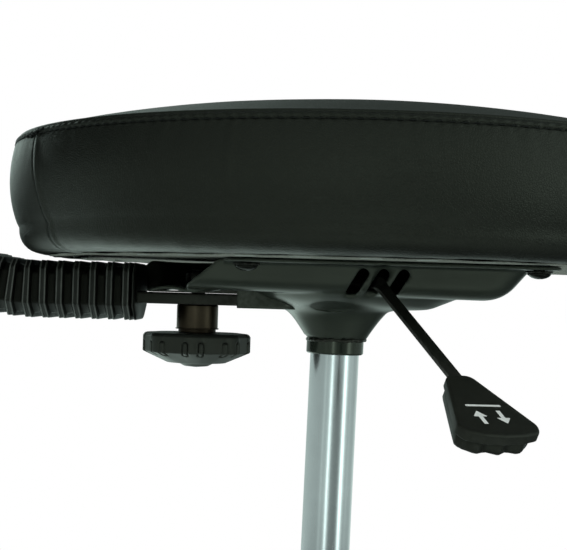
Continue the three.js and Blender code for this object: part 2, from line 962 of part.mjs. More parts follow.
function weldNut() {
  const floor = rearFloor() + fit.gap;
  const top = floor + clamp.nut_height;
  const hexagon = pin(clamp.nut_radius, floor, top, facets.nut);
  return cut(hexagon, pin(clamp.bolt_radius + fit.gap, floor - fit.overrun, top + fit.overrun))
    .translate(clamp.x, 0, 0);
}

// Where the lever's strip crosses the wall, in the middle slot.
function leverGate() {
  const lean = THREE.MathUtils.degToRad(plate.slot_lean_deg);
  const z = plate.slot_level + lever.gate_rise * Math.sin(lean);
  const slope = (plate.wall_top_half - plate.wall_foot_half) / (plate.top - plate.bottom);
  return {
    place: new THREE.Vector3(
      slotCentre(1) + lever.gate_rise * Math.cos(lean),
      -plate.wall_foot_half - slope * (z - plate.bottom) + plate.sheet / 2,
      z,
    ),
    side: new THREE.Vector3(Math.cos(lean), 0, Math.sin(lean)),
  };
}

// The arm's heading outside the wall, and its level side.
function leverArm() {
  const lead = THREE.MathUtils.degToRad(lever.lead_deg);
  const fall = THREE.MathUtils.degToRad(lever.fall_deg);
  const along = new THREE.Vector3(
    Math.cos(lead) * Math.cos(fall),
    -Math.sin(lead) * Math.cos(fall),
    -Math.sin(fall),
  );
  return { along, side: new THREE.Vector3(Math.sin(lead), Math.cos(lead), 0) };
}

// Middle line of the strip from over the button to the paddle, with the side it lies along.
function leverStations() {
  const gate = leverGate();
  const { along, side } = leverArm();
  const button = new THREE.Vector3(0, 0, lever.over_button + lever.thickness);
  const inner = button.clone().sub(gate.place).normalize();
  const flat = new THREE.Vector3(-inner.y, inner.x, 0).normalize().negate();
  const elbow = gate.place.clone().add(new THREE.Vector3(0, -lever.neck_out, 0));
  const knee = elbow.clone().add(new THREE.Vector3(0, -lever.elbow / 3, 0));
  const bend = new THREE.CubicBezierCurve3(
    elbow,
    knee,
    knee.clone().addScaledVector(along, lever.elbow / 3),
    knee.clone().addScaledVector(along, lever.elbow),
  );
  const stations = [];
  const add = (place, across_side) => stations.push({ place, side: across_side.clone().normalize() });
  add(button.clone().addScaledVector(inner, lever.tail), flat);
  add(button.clone().addScaledVector(inner, -lever.tail), flat);
  for (let k = 1; k <= facets.lever_run; k += 1) {
    const share = k / facets.lever_run;
    const from = button.clone().addScaledVector(inner, -lever.tail);
    const to = gate.place.clone().add(new THREE.Vector3(0, lever.gate_run, 0));
    add(from.lerp(to, share), flat.clone().lerp(gate.side, share));
  }
  add(elbow, gate.side);
  for (let k = 1; k <= facets.lever_bend; k += 1) {
    const share = k / facets.lever_bend;
    add(bend.getPoint(share), gate.side.clone().lerp(side, share));
  }
  const arm_end = bend.getPoint(1).addScaledVector(along, lever.arm);
  add(arm_end, side);
  return { stations, arm_end };
}

function leverStrip() {
  const { stations } = leverStations();
  const rings = stations.map(({ place, side }, k) => {
    const before = stations[Math.max(k - 1, 0)].place;
    const after = stations[Math.min(k + 1, stations.length - 1)].place;
    const along = after.clone().sub(before).normalize();
    const level_side = side.clone().addScaledVector(along, -side.dot(along)).normalize();
    const face = new THREE.Vector3().crossVectors(along, level_side).normalize();
    const corners = [[1, 1], [1, -1], [-1, -1], [-1, 1]];
    return corners.map(([across_share, up_share]) => place.clone()
      .addScaledVector(level_side, (lever.width / 2) * across_share)
      .addScaledVector(face, (lever.thickness / 2) * up_share));
  });
  return loft(rings);
}

// The paddle's outline, [side, along] points from its neck to its tip, set in all round.
function paddleOutline(inset, finger) {
  const points = [[-paddle.neck_half + inset, 0], [paddle.neck_half - inset, 0]];
  const steps = facets.paddle;
  const wide = paddle.tip_half - inset;
  const round = paddle.tip_round;
  for (let k = 0; k <= steps; k += 1) {
    const angle = Math.PI * (k / steps);
    const share = Math.cos(angle);
    const corner = Math.sin(angle) ** paddle.tip_power;
    const wave = finger * (0.5 - 0.5 * Math.cos(2 * Math.PI * paddle.finger_count * (k / steps)));
    points.push([
      (wide - wave) * share,
      paddle.length - inset - round + (round - paddle.tip_bow * share ** 2 - wave) * corner,
    ]);
  }
  return points;
}

function leverPaddle() {
  const { arm_end } = leverStations();
  const { along, side } = leverArm();
  const roll = THREE.MathUtils.degToRad(paddle.roll_deg);
  const level_side = side.clone().negate().applyAxisAngle(along, -roll);
  const upright = new THREE.Vector3().crossVectors(level_side, along);
  const start = arm_end.clone().addScaledVector(along, -paddle.socket_depth);
  const layer = (points, low, high) => {
    const shape = new THREE.Shape(points.map(([x, y]) => new THREE.Vector2(x, y)));
    return new THREE.ExtrudeGeometry(shape, { depth: high - low, bevelEnabled: false }).translate(0, 0, low);
  };
  const parting = paddle.top - paddle.cap;
  const solid = join(
    layer(paddleOutline(0, 0), parting, paddle.top),
    layer(paddleOutline(paddle.grip_inset, paddle.finger_depth), parting - paddle.grip, parting),
  );
  const half = lever.width / 2 + fit.gap;
  const rise = lever.thickness / 2 + fit.gap;
  const hole = slab(
    [[-half, -fit.overrun], [half, -fit.overrun], [half, paddle.socket_depth + fit.gap],
      [-half, paddle.socket_depth + fit.gap]],
    -rise,
    rise,
  );
  const basis = new THREE.Matrix4().makeBasis(level_side, along, upright).setPosition(start);
  return cut(solid, hole).applyMatrix4(basis);
}

// The gas lift, about the column's axis. These heights count from the floor.
function columnTube() {
  const outer_foot = column.foot_radius;
  const floor = column_foot_z + column.floor;
  return turnedRing([
    [lift.rod_radius + fit.gap, column_foot_z],
    [outer_foot, column_foot_z],
    [column.radius, column_foot_z + column.foot_drop + star.hub_height],
    [column.radius, column_top_z - column.crimp],
    [column.radius - column.crimp, column_top_z],
    [column.radius - column.wall, column_top_z],
    [column.radius - column.wall, column_foot_z + star.hub_height],
    [outer_foot - column.wall, floor],
    [lift.rod_radius + fit.gap, floor],
  ], facets.tube);
}

function guideBush() {
  const inner = lift.tube_radius + fit.gap;
  const outer = column.radius - column.wall - fit.gap;
  return turnedRing([
    [inner, bush_top_z - fit.gap],
    [inner, bush_top_z - lift.bush_length],
    [outer, bush_top_z - lift.bush_length],
    [outer, column_top_z + fit.gap],
    [column.radius, column_top_z + fit.gap],
    [column.radius, bush_top_z - lift.bush_flange / 2],
    [column.radius - lift.bush_flange / 2, bush_top_z],
    [inner + fit.gap, bush_top_z],
  ], facets.tube);
}

const tube_foot_z = bush_top_z - lift.tube_overlap;
const tube_top_z = datum_z + socket.rise;
const guide_top_z = tube_foot_z + lift.guide_height;

function gasTube() {
  const inner = lift.tube_radius - lift.tube_wall;
  const bore = lift.button_radius + fit.gap;
  return turnedRing([
    [inner, tube_foot_z],
    [lift.tube_radius, tube_foot_z],
    [lift.tube_radius, tube_top_z - lift.tube_crown],
    [lift.tube_radius - lift.tube_crown, tube_top_z],
    [bore, tube_top_z],
    [bore, tube_top_z - lift.button_stem],
    [inner, tube_top_z - lift.button_stem - lift.tube_crown],
  ], facets.tube);
}

function rodGuide() {
  return turnedRing([
    [lift.rod_radius + fit.gap, tube_foot_z + fit.gap],
    [lift.tube_radius - lift.tube_wall - fit.gap, tube_foot_z + fit.gap],
    [lift.tube_radius - lift.tube_wall - fit.gap, guide_top_z],
    [lift.rod_radius + fit.gap, guide_top_z],
  ], facets.inner);
}

const bearing_top_z = column_foot_z + column.floor + fit.gap + lift.bearing_height;

function pistonRod() {
  const shoulder = bearing_top_z + fit.gap;
  const head = guide_top_z + fit.gap;
  const groove = column_foot_z - fit.gap - lift.clip_height;
  return turned([
    [0, column_foot_z - lift.rod_tail],
    [lift.rod_radius, column_foot_z - lift.rod_tail],
    [lift.rod_radius, groove - fit.gap],
    [lift.rod_radius, shoulder],
    [lift.rod_shoulder_radius, shoulder],
    [lift.rod_shoulder_radius, shoulder + lift.rod_shoulder],
    [lift.rod_radius, shoulder + lift.rod_shoulder],
    [lift.rod_radius, head],
    [lift.tube_radius - lift.tube_wall - fit.gap, head],
    [lift.tube_radius - lift.tube_wall - fit.gap, head + lift.piston_height],
    [0, head + lift.piston_height],
  ], facets.inner);
}

function thrustBearing() {
  const floor = column_foot_z + column.floor + fit.gap;
  return turnedRing([
    [lift.rod_radius + fit.gap, floor],
    [lift.bearing_radius, floor],
    [lift.bearing_radius, bearing_top_z],
    [lift.rod_radius + fit.gap, bearing_top_z],
  ], facets.inner);
}

function rodClip() {
  const top = column_foot_z - fit.gap;
  return turnedRing([
    [lift.rod_radius + fit.gap, top - lift.clip_height],
    [lift.clip_radius, top - lift.clip_height],
    [lift.clip_radius, top],
    [lift.rod_radius + fit.gap, top],
  ], facets.inner);
}

// The socket, about the column's axis, with heights from the datum.
function taperSocket() {
  const bore = lift.tube_radius + fit.gap;
  return turnedRing([
    [bore, -socket.drop],
    [socket.lower_radius - socket.chamfer, -socket.drop],
    [socket.lower_radius, -socket.drop + socket.chamfer],
    [socket.radius, plate.bottom],
    [socket.radius, socket.rise - socket.chamfer],
    [socket.radius - socket.chamfer, socket.rise],
    [bore, socket.rise],
  ], facets.tube);
}

function valveButton() {
  const top = lever.over_button + lever.thickness / 2 - fit.gap;
  const head = top - lift.button_head;
  return turned([
    [0, socket.rise - lift.button_stem],
    [lift.button_radius, socket.rise - lift.button_stem],
    [lift.button_radius, head],
    [lift.button_radius * lift.button_tip_share, top],
    [0, top],
  ], facets.screw);
}

// The base: five hollow legs and a hub with a tapered bore.
function legRing(reach, half, foot, top) {
  const crown = half * star.leg_crown_share;
  const waist = THREE.MathUtils.lerp(foot, top, star.leg_waist_share);
  const shoulder = THREE.MathUtils.lerp(foot, top, star.leg_shoulder_share);
  const side = [[half, foot], [half, waist], [(half + crown) / 2, shoulder], [crown / 2, top]];
  const mirrored = side.map(([y, z]) => [-y, z]).reverse();
  return [...side, ...mirrored].map(([y, z]) => new THREE.Vector3(reach, y, z));
}

function leg(inset, from, to) {
  const foot_cut = inset > 0 ? -fit.overrun : 0;
  const ring = (reach) => {
    const share = Math.max((reach - star.hub_radius) / (caster.orbit - star.hub_radius), 0);
    const half = THREE.MathUtils.lerp(star.leg_root_width, star.leg_tip_width, share) / 2 - inset;
    const foot = leg_foot_z + star.leg_root_lift * (1 - share) ** 2 + foot_cut;
    const top = leg_foot_z + THREE.MathUtils.lerp(star.leg_root_top, star.leg_tip_top, share) - inset;
    return legRing(reach, half, foot, top);
  };
  return loft(star.leg_stations_share.map((share) => ring(THREE.MathUtils.lerp(from, to, share))));
}

function starBase() {
  const hub_top = leg_foot_z + star.hub_height;
  const hub = turned([
    [0, leg_foot_z],
    [star.hub_radius, leg_foot_z],
    [star.hub_radius, leg_foot_z + star.hub_height / 2],
    [star.hub_top_radius, hub_top - star.hub_chamfer],
    [star.hub_top_radius - star.hub_chamfer, hub_top],
    [0, hub_top],
  ], facets.hub);
  const bore = turned([
    [0, column_foot_z - fit.overrun],
    [column.foot_radius + fit.gap, column_foot_z - fit.overrun],
    [column.foot_radius + fit.gap, column_foot_z],
    [column.radius + fit.gap, column_foot_z + column.foot_drop + star.hub_height],
    [column.radius + fit.gap, hub_top + fit.overrun],
    [0, hub_top + fit.overrun],
  ], facets.tube);
  const shapes = [hub];
  const tools = [bore];
  for (let k = 0; k < wheel.count; k += 1) {
    const turn = (2 * Math.PI * k) / wheel.count;
    const end_top = leg_foot_z + star.leg_tip_top - star.end_drop;
    const end = pin(star.end_radius, leg_foot_z, end_top, facets.inner);
    shapes.push(leg(0, star.hub_radius - star.leg_wall * 2, caster.orbit).rotateZ(turn));
    shapes.push(end.translate(caster.orbit, 0, 0).rotateZ(turn));
    const pocket_end = caster.orbit - star.end_radius;
    tools.push(leg(star.leg_wall, star.pocket_inset, pocket_end).rotateZ(turn));
    const hole_foot = leg_foot_z - fit.overrun;
    const stem_hole = pin(caster.pin_radius + fit.gap, hole_foot, stemTop() + fit.gap, facets.stem);
    tools.push(stem_hole.translate(caster.orbit * Math.cos(turn), caster.orbit * Math.sin(turn), 0));
  }
  return cut(join(...shapes), ...tools);
}

const stemTop = () => leg_foot_z + caster.pin_length;

// One caster, about its stem's axis, with its axle behind the stem.
function casterStem() {
  const seat_z = boss_top + fit.gap;
  return turned([
    [0, boss_top - caster.stem_seat_depth + fit.gap],
    [caster.stem_radius, boss_top - caster.stem_seat_depth + fit.gap],
    [caster.stem_radius, seat_z],
    [caster.collar_radius, seat_z],
    [caster.collar_radius, seat_z + caster.collar_height],
    [caster.pin_radius, seat_z + caster.collar_height],
    [caster.pin_radius, stemTop()],
    [0, stemTop()],
  ], facets.stem);
}

const hood_half = caster.web / 2 + fit.slide + wheel.width + caster.hood_reach;

function casterHood() {
  const outline = [];
  const steps = facets.arch;
  for (let k = 0; k <= steps; k += 1) {
    const angle = Math.PI * (k / steps);
    outline.push([hood_radius * Math.cos(angle), axle_z + hood_radius * Math.sin(angle)]);
  }
  outline.push([-hood_radius + caster.hood_wall, axle_z - caster.skirt_drop]);
  outline.push([hood_radius - caster.hood_wall, axle_z - caster.skirt_drop]);
  const arch = across(outline, -hood_half, hood_half).translate(-caster.trail, 0, 0);
  const boss = pin(caster.boss_radius, axle_z, boss_top, facets.pocket);
  const pockets = [-1, 1].map((side) => (
    pin(wheel.radius + caster.hood_clearance, caster.web / 2, hood_half + fit.overrun, facets.pocket)
      .rotateX((side * Math.PI) / 2).translate(-caster.trail, 0, axle_z)
  ));
  const stem_hole = pin(
    caster.stem_radius + fit.gap,
    boss_top - caster.stem_seat_depth,
    boss_top + fit.overrun,
    facets.stem,
  );
  const axle_hole = pin(caster.axle_radius + fit.gap, -hood_half, hood_half, facets.stem)
    .rotateX(Math.PI / 2).translate(-caster.trail, 0, axle_z);
  return cut(join(arch, boss), ...pockets, stem_hole, axle_hole);
}

function casterAxle() {
  const half = caster.web / 2 + fit.slide + wheel.width - wheel.hub_recess;
  return pin(caster.axle_radius, -half, half, facets.stem)
    .rotateX(Math.PI / 2).translate(-caster.trail, 0, axle_z);
}

function casterWheel(side) {
  const near = caster.web / 2 + fit.slide;
  const far = near + wheel.width;
  const tyre = turnedRing([
    [caster.axle_radius + fit.gap, near],
    [wheel.radius, near],
    [wheel.radius, far - wheel.tread_edge],
    [wheel.radius - wheel.tread_edge, far],
    [caster.axle_radius + fit.gap, far - wheel.hub_recess],
  ], wheel.segments);
  // A flat of the tread faces the floor.
  const flat_down = Math.PI / wheel.segments;
  return tyre.rotateZ(flat_down).rotateX((-side * Math.PI) / 2).translate(-caster.trail, 0, axle_z);
}

// The backrest, on the bar's upright. These heights count from the datum.
const upright_x = bar.elbow_start - bar.elbow_radius;
const sleeve_half_depth = bar.thickness / 2 + fit.gap + back.sleeve_wall;
const sleeve_half_width = bar.width / 2 + fit.gap + back.sleeve_wall;
const back_face_x = upright_x + sleeve_half_depth + back.plate_stand;

function backBracket() {
  const low = back.centre_level - back.sleeve_height / 2;
  const high = back.centre_level + back.sleeve_height / 2;
  const sleeve = slab(roundedRectangle(
    upright_x - sleeve_half_depth,
    back_face_x,
    -sleeve_half_width,
    sleeve_half_width,
    back.plate_sheet,
  ), low, high);
  const plate_half = back.plate_width / 2;
  const mount = slab(roundedRectangle(
    back_face_x - back.plate_sheet,
    back_face_x,
    -plate_half,
    plate_half,
    back.plate_sheet / 2,
    2,
  ), low, high);
  const boss_x = upright_x - sleeve_half_depth;
  const boss = pin(back.boss_radius, -back.boss_length, fit.overrun, facets.inner)
    .rotateY(Math.PI / 2).translate(boss_x, 0, back.centre_level);
  const bar_hole = slab(roundedRectangle(
    upright_x - bar.thickness / 2 - fit.gap,
    upright_x + bar.thickness / 2 + fit.gap,
    -bar.width / 2 - fit.gap,
    bar.width / 2 + fit.gap,
    bar.edge,
    1,
  ), low - fit.overrun, high + fit.overrun);
  const bolt_hole = pin(clamp.bolt_radius + fit.gap, -back.boss_length - fit.overrun, sleeve_half_depth)
    .rotateY(Math.PI / 2).translate(boss_x, 0, back.centre_level);
  return cut(join(sleeve, mount, boss), bar_hole, bolt_hole);
}

// The back knob's bolt, washer and knob, about Z with the bar's face at zero.
const bolt_tip = fit.gap;
const boss_face = bolt_tip + back.sleeve_wall + back.boss_length;

function facingBack(geometry) {
  return geometry.rotateY(-Math.PI / 2)
    .translate(upright_x - bar.thickness / 2, 0, back.centre_level);
}

function backBolt() {
  return facingBack(pin(clamp.bolt_radius, bolt_tip, boss_face + back.bolt_out));
}

function backWasher() {
  const low = boss_face + fit.gap;
  return facingBack(turnedRing([
    [clamp.bolt_radius + fit.gap, low],
    [back.washer_radius, low],
    [back.washer_radius, low + back.washer],
    [clamp.bolt_radius + fit.gap, low + back.washer],
  ], facets.inner));
}

function backKnob() {
  const near = boss_face + 2 * fit.gap + back.washer;
  const scale = back.knob_radius / clamp.knob_radius;
  const rim = near + clamp.knob_rim * scale;
  const cone = rim + clamp.knob_cone * scale;
  const rings = [
    [back.knob_radius - clamp.dish, near, clamp.face_lobe_share],
    [back.knob_radius, near + clamp.dish, 1],
    [back.knob_radius, rim, 1],
    [clamp.cone_radius * scale, cone, 0],
    [clamp.nub_radius * scale, cone + clamp.nub * scale, 0],
  ];
  const hole = pin(clamp.bolt_radius + fit.gap, near - fit.overrun, boss_face + back.bolt_out + fit.gap);
  return facingBack(cut(lobed(rings), hole));
}

// A ring on the backrest's curved face: a rounded oblong, at a share of its size.
function backRing(share, inset, x) {
  const steps = facets.back;
  const ring = [];
  const round = 2 / back.outline_power;
  for (let k = 0; k < steps; k += 1) {
    const angle = (2 * Math.PI * k) / steps;
    const swing = (value) => Math.sign(value) * Math.abs(value) ** round;
    const y = (back.half_width - inset) * share * swing(Math.cos(angle));
    const z = (back.half_height - inset) * share * swing(Math.sin(angle));
    const curl = back.curve_radius - Math.sqrt(back.curve_radius ** 2 - y ** 2);
    ring.push(new THREE.Vector3(x + curl, y, back.centre_level + z));
  }
  return ring;
}

const shell_back_x = back_face_x + fit.gap;
const cushion_back_x = shell_back_x + back.shell + fit.slide;

function backShell() {
  const rear = back.rings_share.map((share) => backRing(share, back.shell / 2, shell_back_x));
  const front = back.rings_share.map((share) => backRing(share, back.shell / 2, shell_back_x + back.shell));
  return loft([...front, ...rear.reverse()]);
}

function backCushion() {
  const rear = back.rings_share.map((share) => backRing(share, back.shell / 2, cushion_back_x));
  const side = back.side_shares.map((share) => (
    backRing(1, -back.shell / 2, cushion_back_x + back.pad_edge * share)
  ));
  const crown = back.crown_shares.map((share) => {
    const rise = (back.pad - back.pad_edge) * (1 - share ** back.edge_power);
    return backRing(share, 0, cushion_back_x + back.pad_edge + rise);
  });
  return loft([...rear, ...side, ...crown]);
}

// The assembly.
function piece(name, geometry, material) {
  const mesh = new THREE.Mesh(closed(geometry), material);
  mesh.name = name;
  return mesh;
}

function buildSeatHead() {
  const head = new THREE.Group();
  head.add(piece('seat_plate', seatPlate(), finish.black_steel));
  head.add(piece('bar_channel', barChannel(), finish.black_steel));
  head.add(piece('dust_cover', dustCover(), finish.felt));
  head.add(piece('seat_board', seatBoard(), finish.plywood));
  head.add(piece('seat_foam', seatFoam(), finish.foam));
  head.add(piece('seat_cover', seatCover(), finish.vinyl));
  screwPlaces().forEach(([x, y], k) => {
    const mesh = piece(`plate_screw_${k + 1}`, plateScrew(), finish.black_steel);
    mesh.position.set(x, y, 0);
    head.add(mesh);
  });
  head.add(piece('lever', leverStrip(), finish.black_steel));
  head.add(piece('lever_paddle', leverPaddle(), finish.plastic));
  head.add(piece('j_bar', jBar(), finish.black_steel));
  head.add(piece('bar_boot', barBoot(), finish.rubber));
  head.add(piece('clamp_spacer', clampSpacer(), finish.brown));
  head.add(piece('clamp_knob', clampKnob(), finish.plastic));
  head.add(piece('clamp_bolt', clampBolt(), finish.steel));
  head.add(piece('weld_nut', weldNut(), finish.steel));
  head.add(piece('back_bracket', backBracket(), finish.black_steel));
  head.add(piece('back_bolt', backBolt(), finish.steel));
  head.add(piece('back_washer', backWasher(), finish.steel));
  head.add(piece('back_knob', backKnob(), finish.plastic));
  head.add(piece('back_shell', backShell(), finish.plastic));
  head.add(piece('back_cushion', backCushion(), finish.vinyl));
  head.rotation.y = -tilt;
  head.position.z = datum_z;
  return head;
}

function buildLift() {
  const group = new THREE.Group();
  group.add(piece('column_tube', columnTube(), finish.chrome));
  group.add(piece('guide_bush', guideBush(), finish.plastic));
  group.add(piece('thrust_bearing', thrustBearing(), finish.steel));
  group.add(piece('rod_clip', rodClip(), finish.steel));
  group.add(piece('piston_rod', pistonRod(), finish.steel));
  group.add(piece('gas_tube', gasTube(), finish.chrome));
  group.add(piece('rod_guide', rodGuide(), finish.plastic));
  const socket_mesh = piece('taper_socket', taperSocket(), finish.black_steel);
  const button = piece('valve_button', valveButton(), finish.steel);
  socket_mesh.position.z = datum_z;
  button.position.z = datum_z;
  group.add(socket_mesh, button);
  return group;
}

function buildBase() {
  const group = new THREE.Group();
  group.add(piece('star_base', starBase(), finish.chrome));
  for (let k = 0; k < wheel.count; k += 1) {
    const turn = (2 * Math.PI * k) / wheel.count;
    const place = new THREE.Group();
    place.position.set(caster.orbit * Math.cos(turn), caster.orbit * Math.sin(turn), 0);
    place.add(piece(`caster_stem_${k + 1}`, casterStem(), finish.steel));
    place.add(piece(`caster_hood_${k + 1}`, casterHood(), finish.plastic));
    place.add(piece(`caster_axle_${k + 1}`, casterAxle(), finish.steel));
    place.add(piece(`caster_wheel_${k + 1}_left`, casterWheel(1), finish.plastic));
    place.add(piece(`caster_wheel_${k + 1}_right`, casterWheel(-1), finish.plastic));
    group.add(place);
  }
  return group;
}

// The origin is on the floor, under the middle of the whole stool.
const stool = new THREE.Group();
stool.add(buildSeatHead(), buildLift(), buildBase());
stool.updateMatrixWorld(true);
const extent = new THREE.Box3().setFromObject(stool, true);
const middle = extent.getCenter(new THREE.Vector3());
stool.position.set(-middle.x, -middle.y, -extent.min.z);
stool.updateMatrixWorld(true);

export default stool;
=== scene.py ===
# Padded work stool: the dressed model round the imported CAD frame, laid out as an add-on.
# Lengths are in metres. A head place counts from the datum on the column's axis and tilts with
# the seat; a lift place counts from the floor on the same axis.
import math
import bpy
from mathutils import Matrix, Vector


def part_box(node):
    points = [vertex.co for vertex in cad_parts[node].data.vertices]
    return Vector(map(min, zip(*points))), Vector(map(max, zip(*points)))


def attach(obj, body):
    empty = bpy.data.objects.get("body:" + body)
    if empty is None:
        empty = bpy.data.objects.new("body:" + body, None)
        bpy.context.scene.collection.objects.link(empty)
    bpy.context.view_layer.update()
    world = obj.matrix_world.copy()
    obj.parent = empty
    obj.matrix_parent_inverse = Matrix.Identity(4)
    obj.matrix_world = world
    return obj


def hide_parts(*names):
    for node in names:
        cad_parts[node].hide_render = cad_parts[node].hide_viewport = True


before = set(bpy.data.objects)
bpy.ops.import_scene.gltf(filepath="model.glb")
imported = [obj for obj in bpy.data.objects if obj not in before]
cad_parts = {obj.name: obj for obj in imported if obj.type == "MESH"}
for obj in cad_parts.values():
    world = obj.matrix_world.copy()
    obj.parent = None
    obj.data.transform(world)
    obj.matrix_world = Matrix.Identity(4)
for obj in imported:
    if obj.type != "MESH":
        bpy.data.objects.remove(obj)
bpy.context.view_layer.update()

from types import SimpleNamespace

import bmesh
import bpy
from mathutils import Matrix, Vector, kdtree, noise

bl_info = {
    "name": "Padded Work Stool",
    "version": (1, 0, 0),
    "blender": (4, 5, 0),
    "location": "View3D > Sidebar > Stool",
    "description": "Dresses the packed stool: cushions, pressed steel, boot, knobs, lift, base and stage",
    "category": "Object",
}

MM = 0.001


def mm(value):
    """A length given in millimetres, or a table of such lengths, in metres."""
    if isinstance(value, (tuple, list)):
        return type(value)(mm(part) for part in value)
    return value * MM


def sized(plain, **lengths):
    """The sizes of a piece: plain numbers, and lengths given in millimetres."""
    return SimpleNamespace(**plain, **{key: mm(value) for key, value in lengths.items()})


def shift(x=0.0, y=0.0, z=0.0):
    return Matrix.Translation((x, y, z))


def spin(angle, axis):
    return Matrix.Rotation(angle, 4, axis)


# Places that come from the frame.
TUBE_LOW, TUBE_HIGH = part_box("gas_tube")
COLUMN_LOW, COLUMN_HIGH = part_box("column_tube")
BUSH_LOW, BUSH_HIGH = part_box("guide_bush")
SOCKET_RISE = mm(3)
SEAT_TILT = math.radians(1.15)
AXIS_X = (TUBE_LOW.x + TUBE_HIGH.x) / 2
TUBE_RADIUS = (TUBE_HIGH.x - TUBE_LOW.x) / 2
COLUMN_RADIUS = (COLUMN_HIGH.x - COLUMN_LOW.x) / 2
DATUM = Vector((AXIS_X, 0, TUBE_HIGH.z - SOCKET_RISE))
HEAD = Matrix.Translation(DATUM) @ spin(-SEAT_TILT, "Y")
LIFT = shift(AXIS_X)

# Sizes that the pieces share with the CAD source, each group named for its piece.
SEAT = sized(
    {"crown_power": 2.6, "bulge_power": 0.75, "fold_power": 0.87},
    centre=8.1, seam_radius=191, seam_level=79.7, crown=21, foot_radius=189.6, foot_level=31,
    bulge=4.9, fold=15, floor=17, lip_radius=167.5, cover=1.2, board_radius=181.1, board_top=30.7,
)
PLATE = sized(
    {"slot_lean": math.radians(60)},
    sheet=2, top=17, bottom=-0.8, fall=1.2, flange_rear=-63, flange_front=114, flange_half=88,
    corner=16, top_front=103, top_half=66, foot_front=87, foot_half=58, fold=9.5, rear=-86,
    rear_top=-61, rear_foot=-83.5, tongue_end=-107.5, tongue_root=-70, tongue_half=33, wave=26,
    swell=0.9, tongue_level=-0.1, slot_width=5.5, slot_length=17.4, slot_pitch=10.8,
    slot_first=8.1, slot_level=5.7, dimple=(-3.5, -7.4), dimple_size=(12.5, 3.0), dimple_depth=2.4,
)
# The funnel's skin from the weld up, in millimetres: rear radius and level, then front radius
# and level, and how far up the sheet's thickness lifts the inner skin there.
FUNNEL = [
    (17.4, -26, 17.4, -26, 0), (20.6, -21, 20.6, -21, 0), (26.6, -13, 26.6, -13, 0.5),
    (32, -9.4, 32, -9.4, 0.7), (43, -5.6, 51, -8.2, 0.85), (49, -3, 60, -5.2, 0.9),
    (54, 0.2, 70, -1, 1),
]
NECK_RADIUS, NECK_LEVEL = mm(FUNNEL[0][:2])
SCREWS = mm([(101.6, 76.2), (-50.8, 76.2), (-50.8, -76.2), (101.6, -76.2)])
BAR = sized(
    {}, thickness=6.35, width=50.8, front=-34.3, top=-2.3, elbow_start=-170, elbow_radius=120,
    upright=270,
)
BOOT = sized(
    {"ribs": 30}, start=-108.4, pitch=9.2, half=34, shoulder_half=28, keel_half=20, top=16.2,
    shoulder=12, flank=-7.6, keel=-16.2, valley=3, cuff=4, wall=2.4, lift=3.2, nose_back=4.6,
    rib_shift=-1.3, lip=0.85, land_sink=0.42, rib_foot=0.3,
)
CLAMP = sized(
    {"lobes": 8}, x=-80.5, sleeve=11.9, sleeve_length=13.4, ring=10.8, ring_length=2.5, lip=0.6,
    knob=30.4, rim=10.8, cone=6.2, cone_radius=17, nub=2.8, nub_radius=8, lobe=0.8, bolt=4,
    hole=5.4, thread=1.25,
)
LEVER = sized(
    {"lead": math.radians(66), "fall": math.radians(29)}, width=7, thickness=2.2,
    over_button=5.2, tail=12, gate_rise=0.3, gate_run=8, neck=1, elbow=12, arm=96,
)
PADDLE = sized(
    {"roll": math.radians(2), "fingers": 4.2}, length=50, neck_half=6.8, tip_half=21.5, top=2.6,
    cap=5.2, finger=2.3, socket=16,
)
BACK = sized(
    {"outline_power": 3.4, "crown_power": 3.0}, level=300, sleeve_wall=5, sleeve_height=70,
    plate_half=48, plate_sheet=3, stand=6, boss=9, boss_length=6, knob=24, washer=10,
    washer_sheet=2, bolt_out=14, shell=5, half_width=180, half_height=105, curve=420, pad=34,
    pad_edge=20,
)
BASE = sized(
    {"legs": 5}, hub=36, hub_top=29.5, hub_height=60, root_top=54, root_half=21, root_lift=8,
    tip_top=26, tip_half=15, wall=3.5, end=17, orbit=290,
)
CASTER = sized(
    {}, trail=18, web=7, wall=2.3, clearance=1.2, skirt=8, axle=3, boss=10, wheel=25,
    wheel_width=17, reach=2,
)
GAP = mm(0.3)
SLIDE = mm(0.5)
BAR_FOOT = BAR.top - BAR.thickness
BAR_MIDDLE = BAR.top - BAR.thickness / 2
KNOB_TOP = BAR_FOOT - 2 * GAP - CLAMP.sleeve_length - CLAMP.ring_length
UPRIGHT_X = BAR.elbow_start - BAR.elbow_radius
BORE = CLAMP.bolt + GAP
SEAT_PLACE = HEAD @ shift(SEAT.centre)


def length(name, description, default):
    """A length on the panel, its default given in millimetres."""
    return bpy.props.FloatProperty(
        name=name, description=description, default=mm(default), unit="LENGTH")


def colour(name, description, default):
    return bpy.props.FloatVectorProperty(
        name=name, description=description, default=default, subtype="COLOR")


class StoolSizes(bpy.types.PropertyGroup):
    """Sizes of the fine forms that the dressing adds."""

    stitch_pitch: length("Stitch pitch", "From one topstitch to the next", 5.75)
    stitch_drop: length("Stitch drop", "From the seam down to the topstitch", 3.6)
    thread: length("Thread", "Thickness of the sewing thread", 0.62)
    pucker: length("Pucker", "Height of the slanted puckers at the seam", 0.24)
    pad_swell: length("Pad swell", "The most that air pressure moves a cover", 2.6)
    pad_voxel: length("Pad voxel", "Cell of the cushions' simulated skin", 5.5)
    plate_voxel: length("Plate voxel", "Cell of the pressed plate's skin", 0.9)
    rib_land: length("Rib land", "Width of a boot rib's flat", 3.7)
    groove_depth: length("Groove depth", "Depth of the loops in a knob", 0.95)


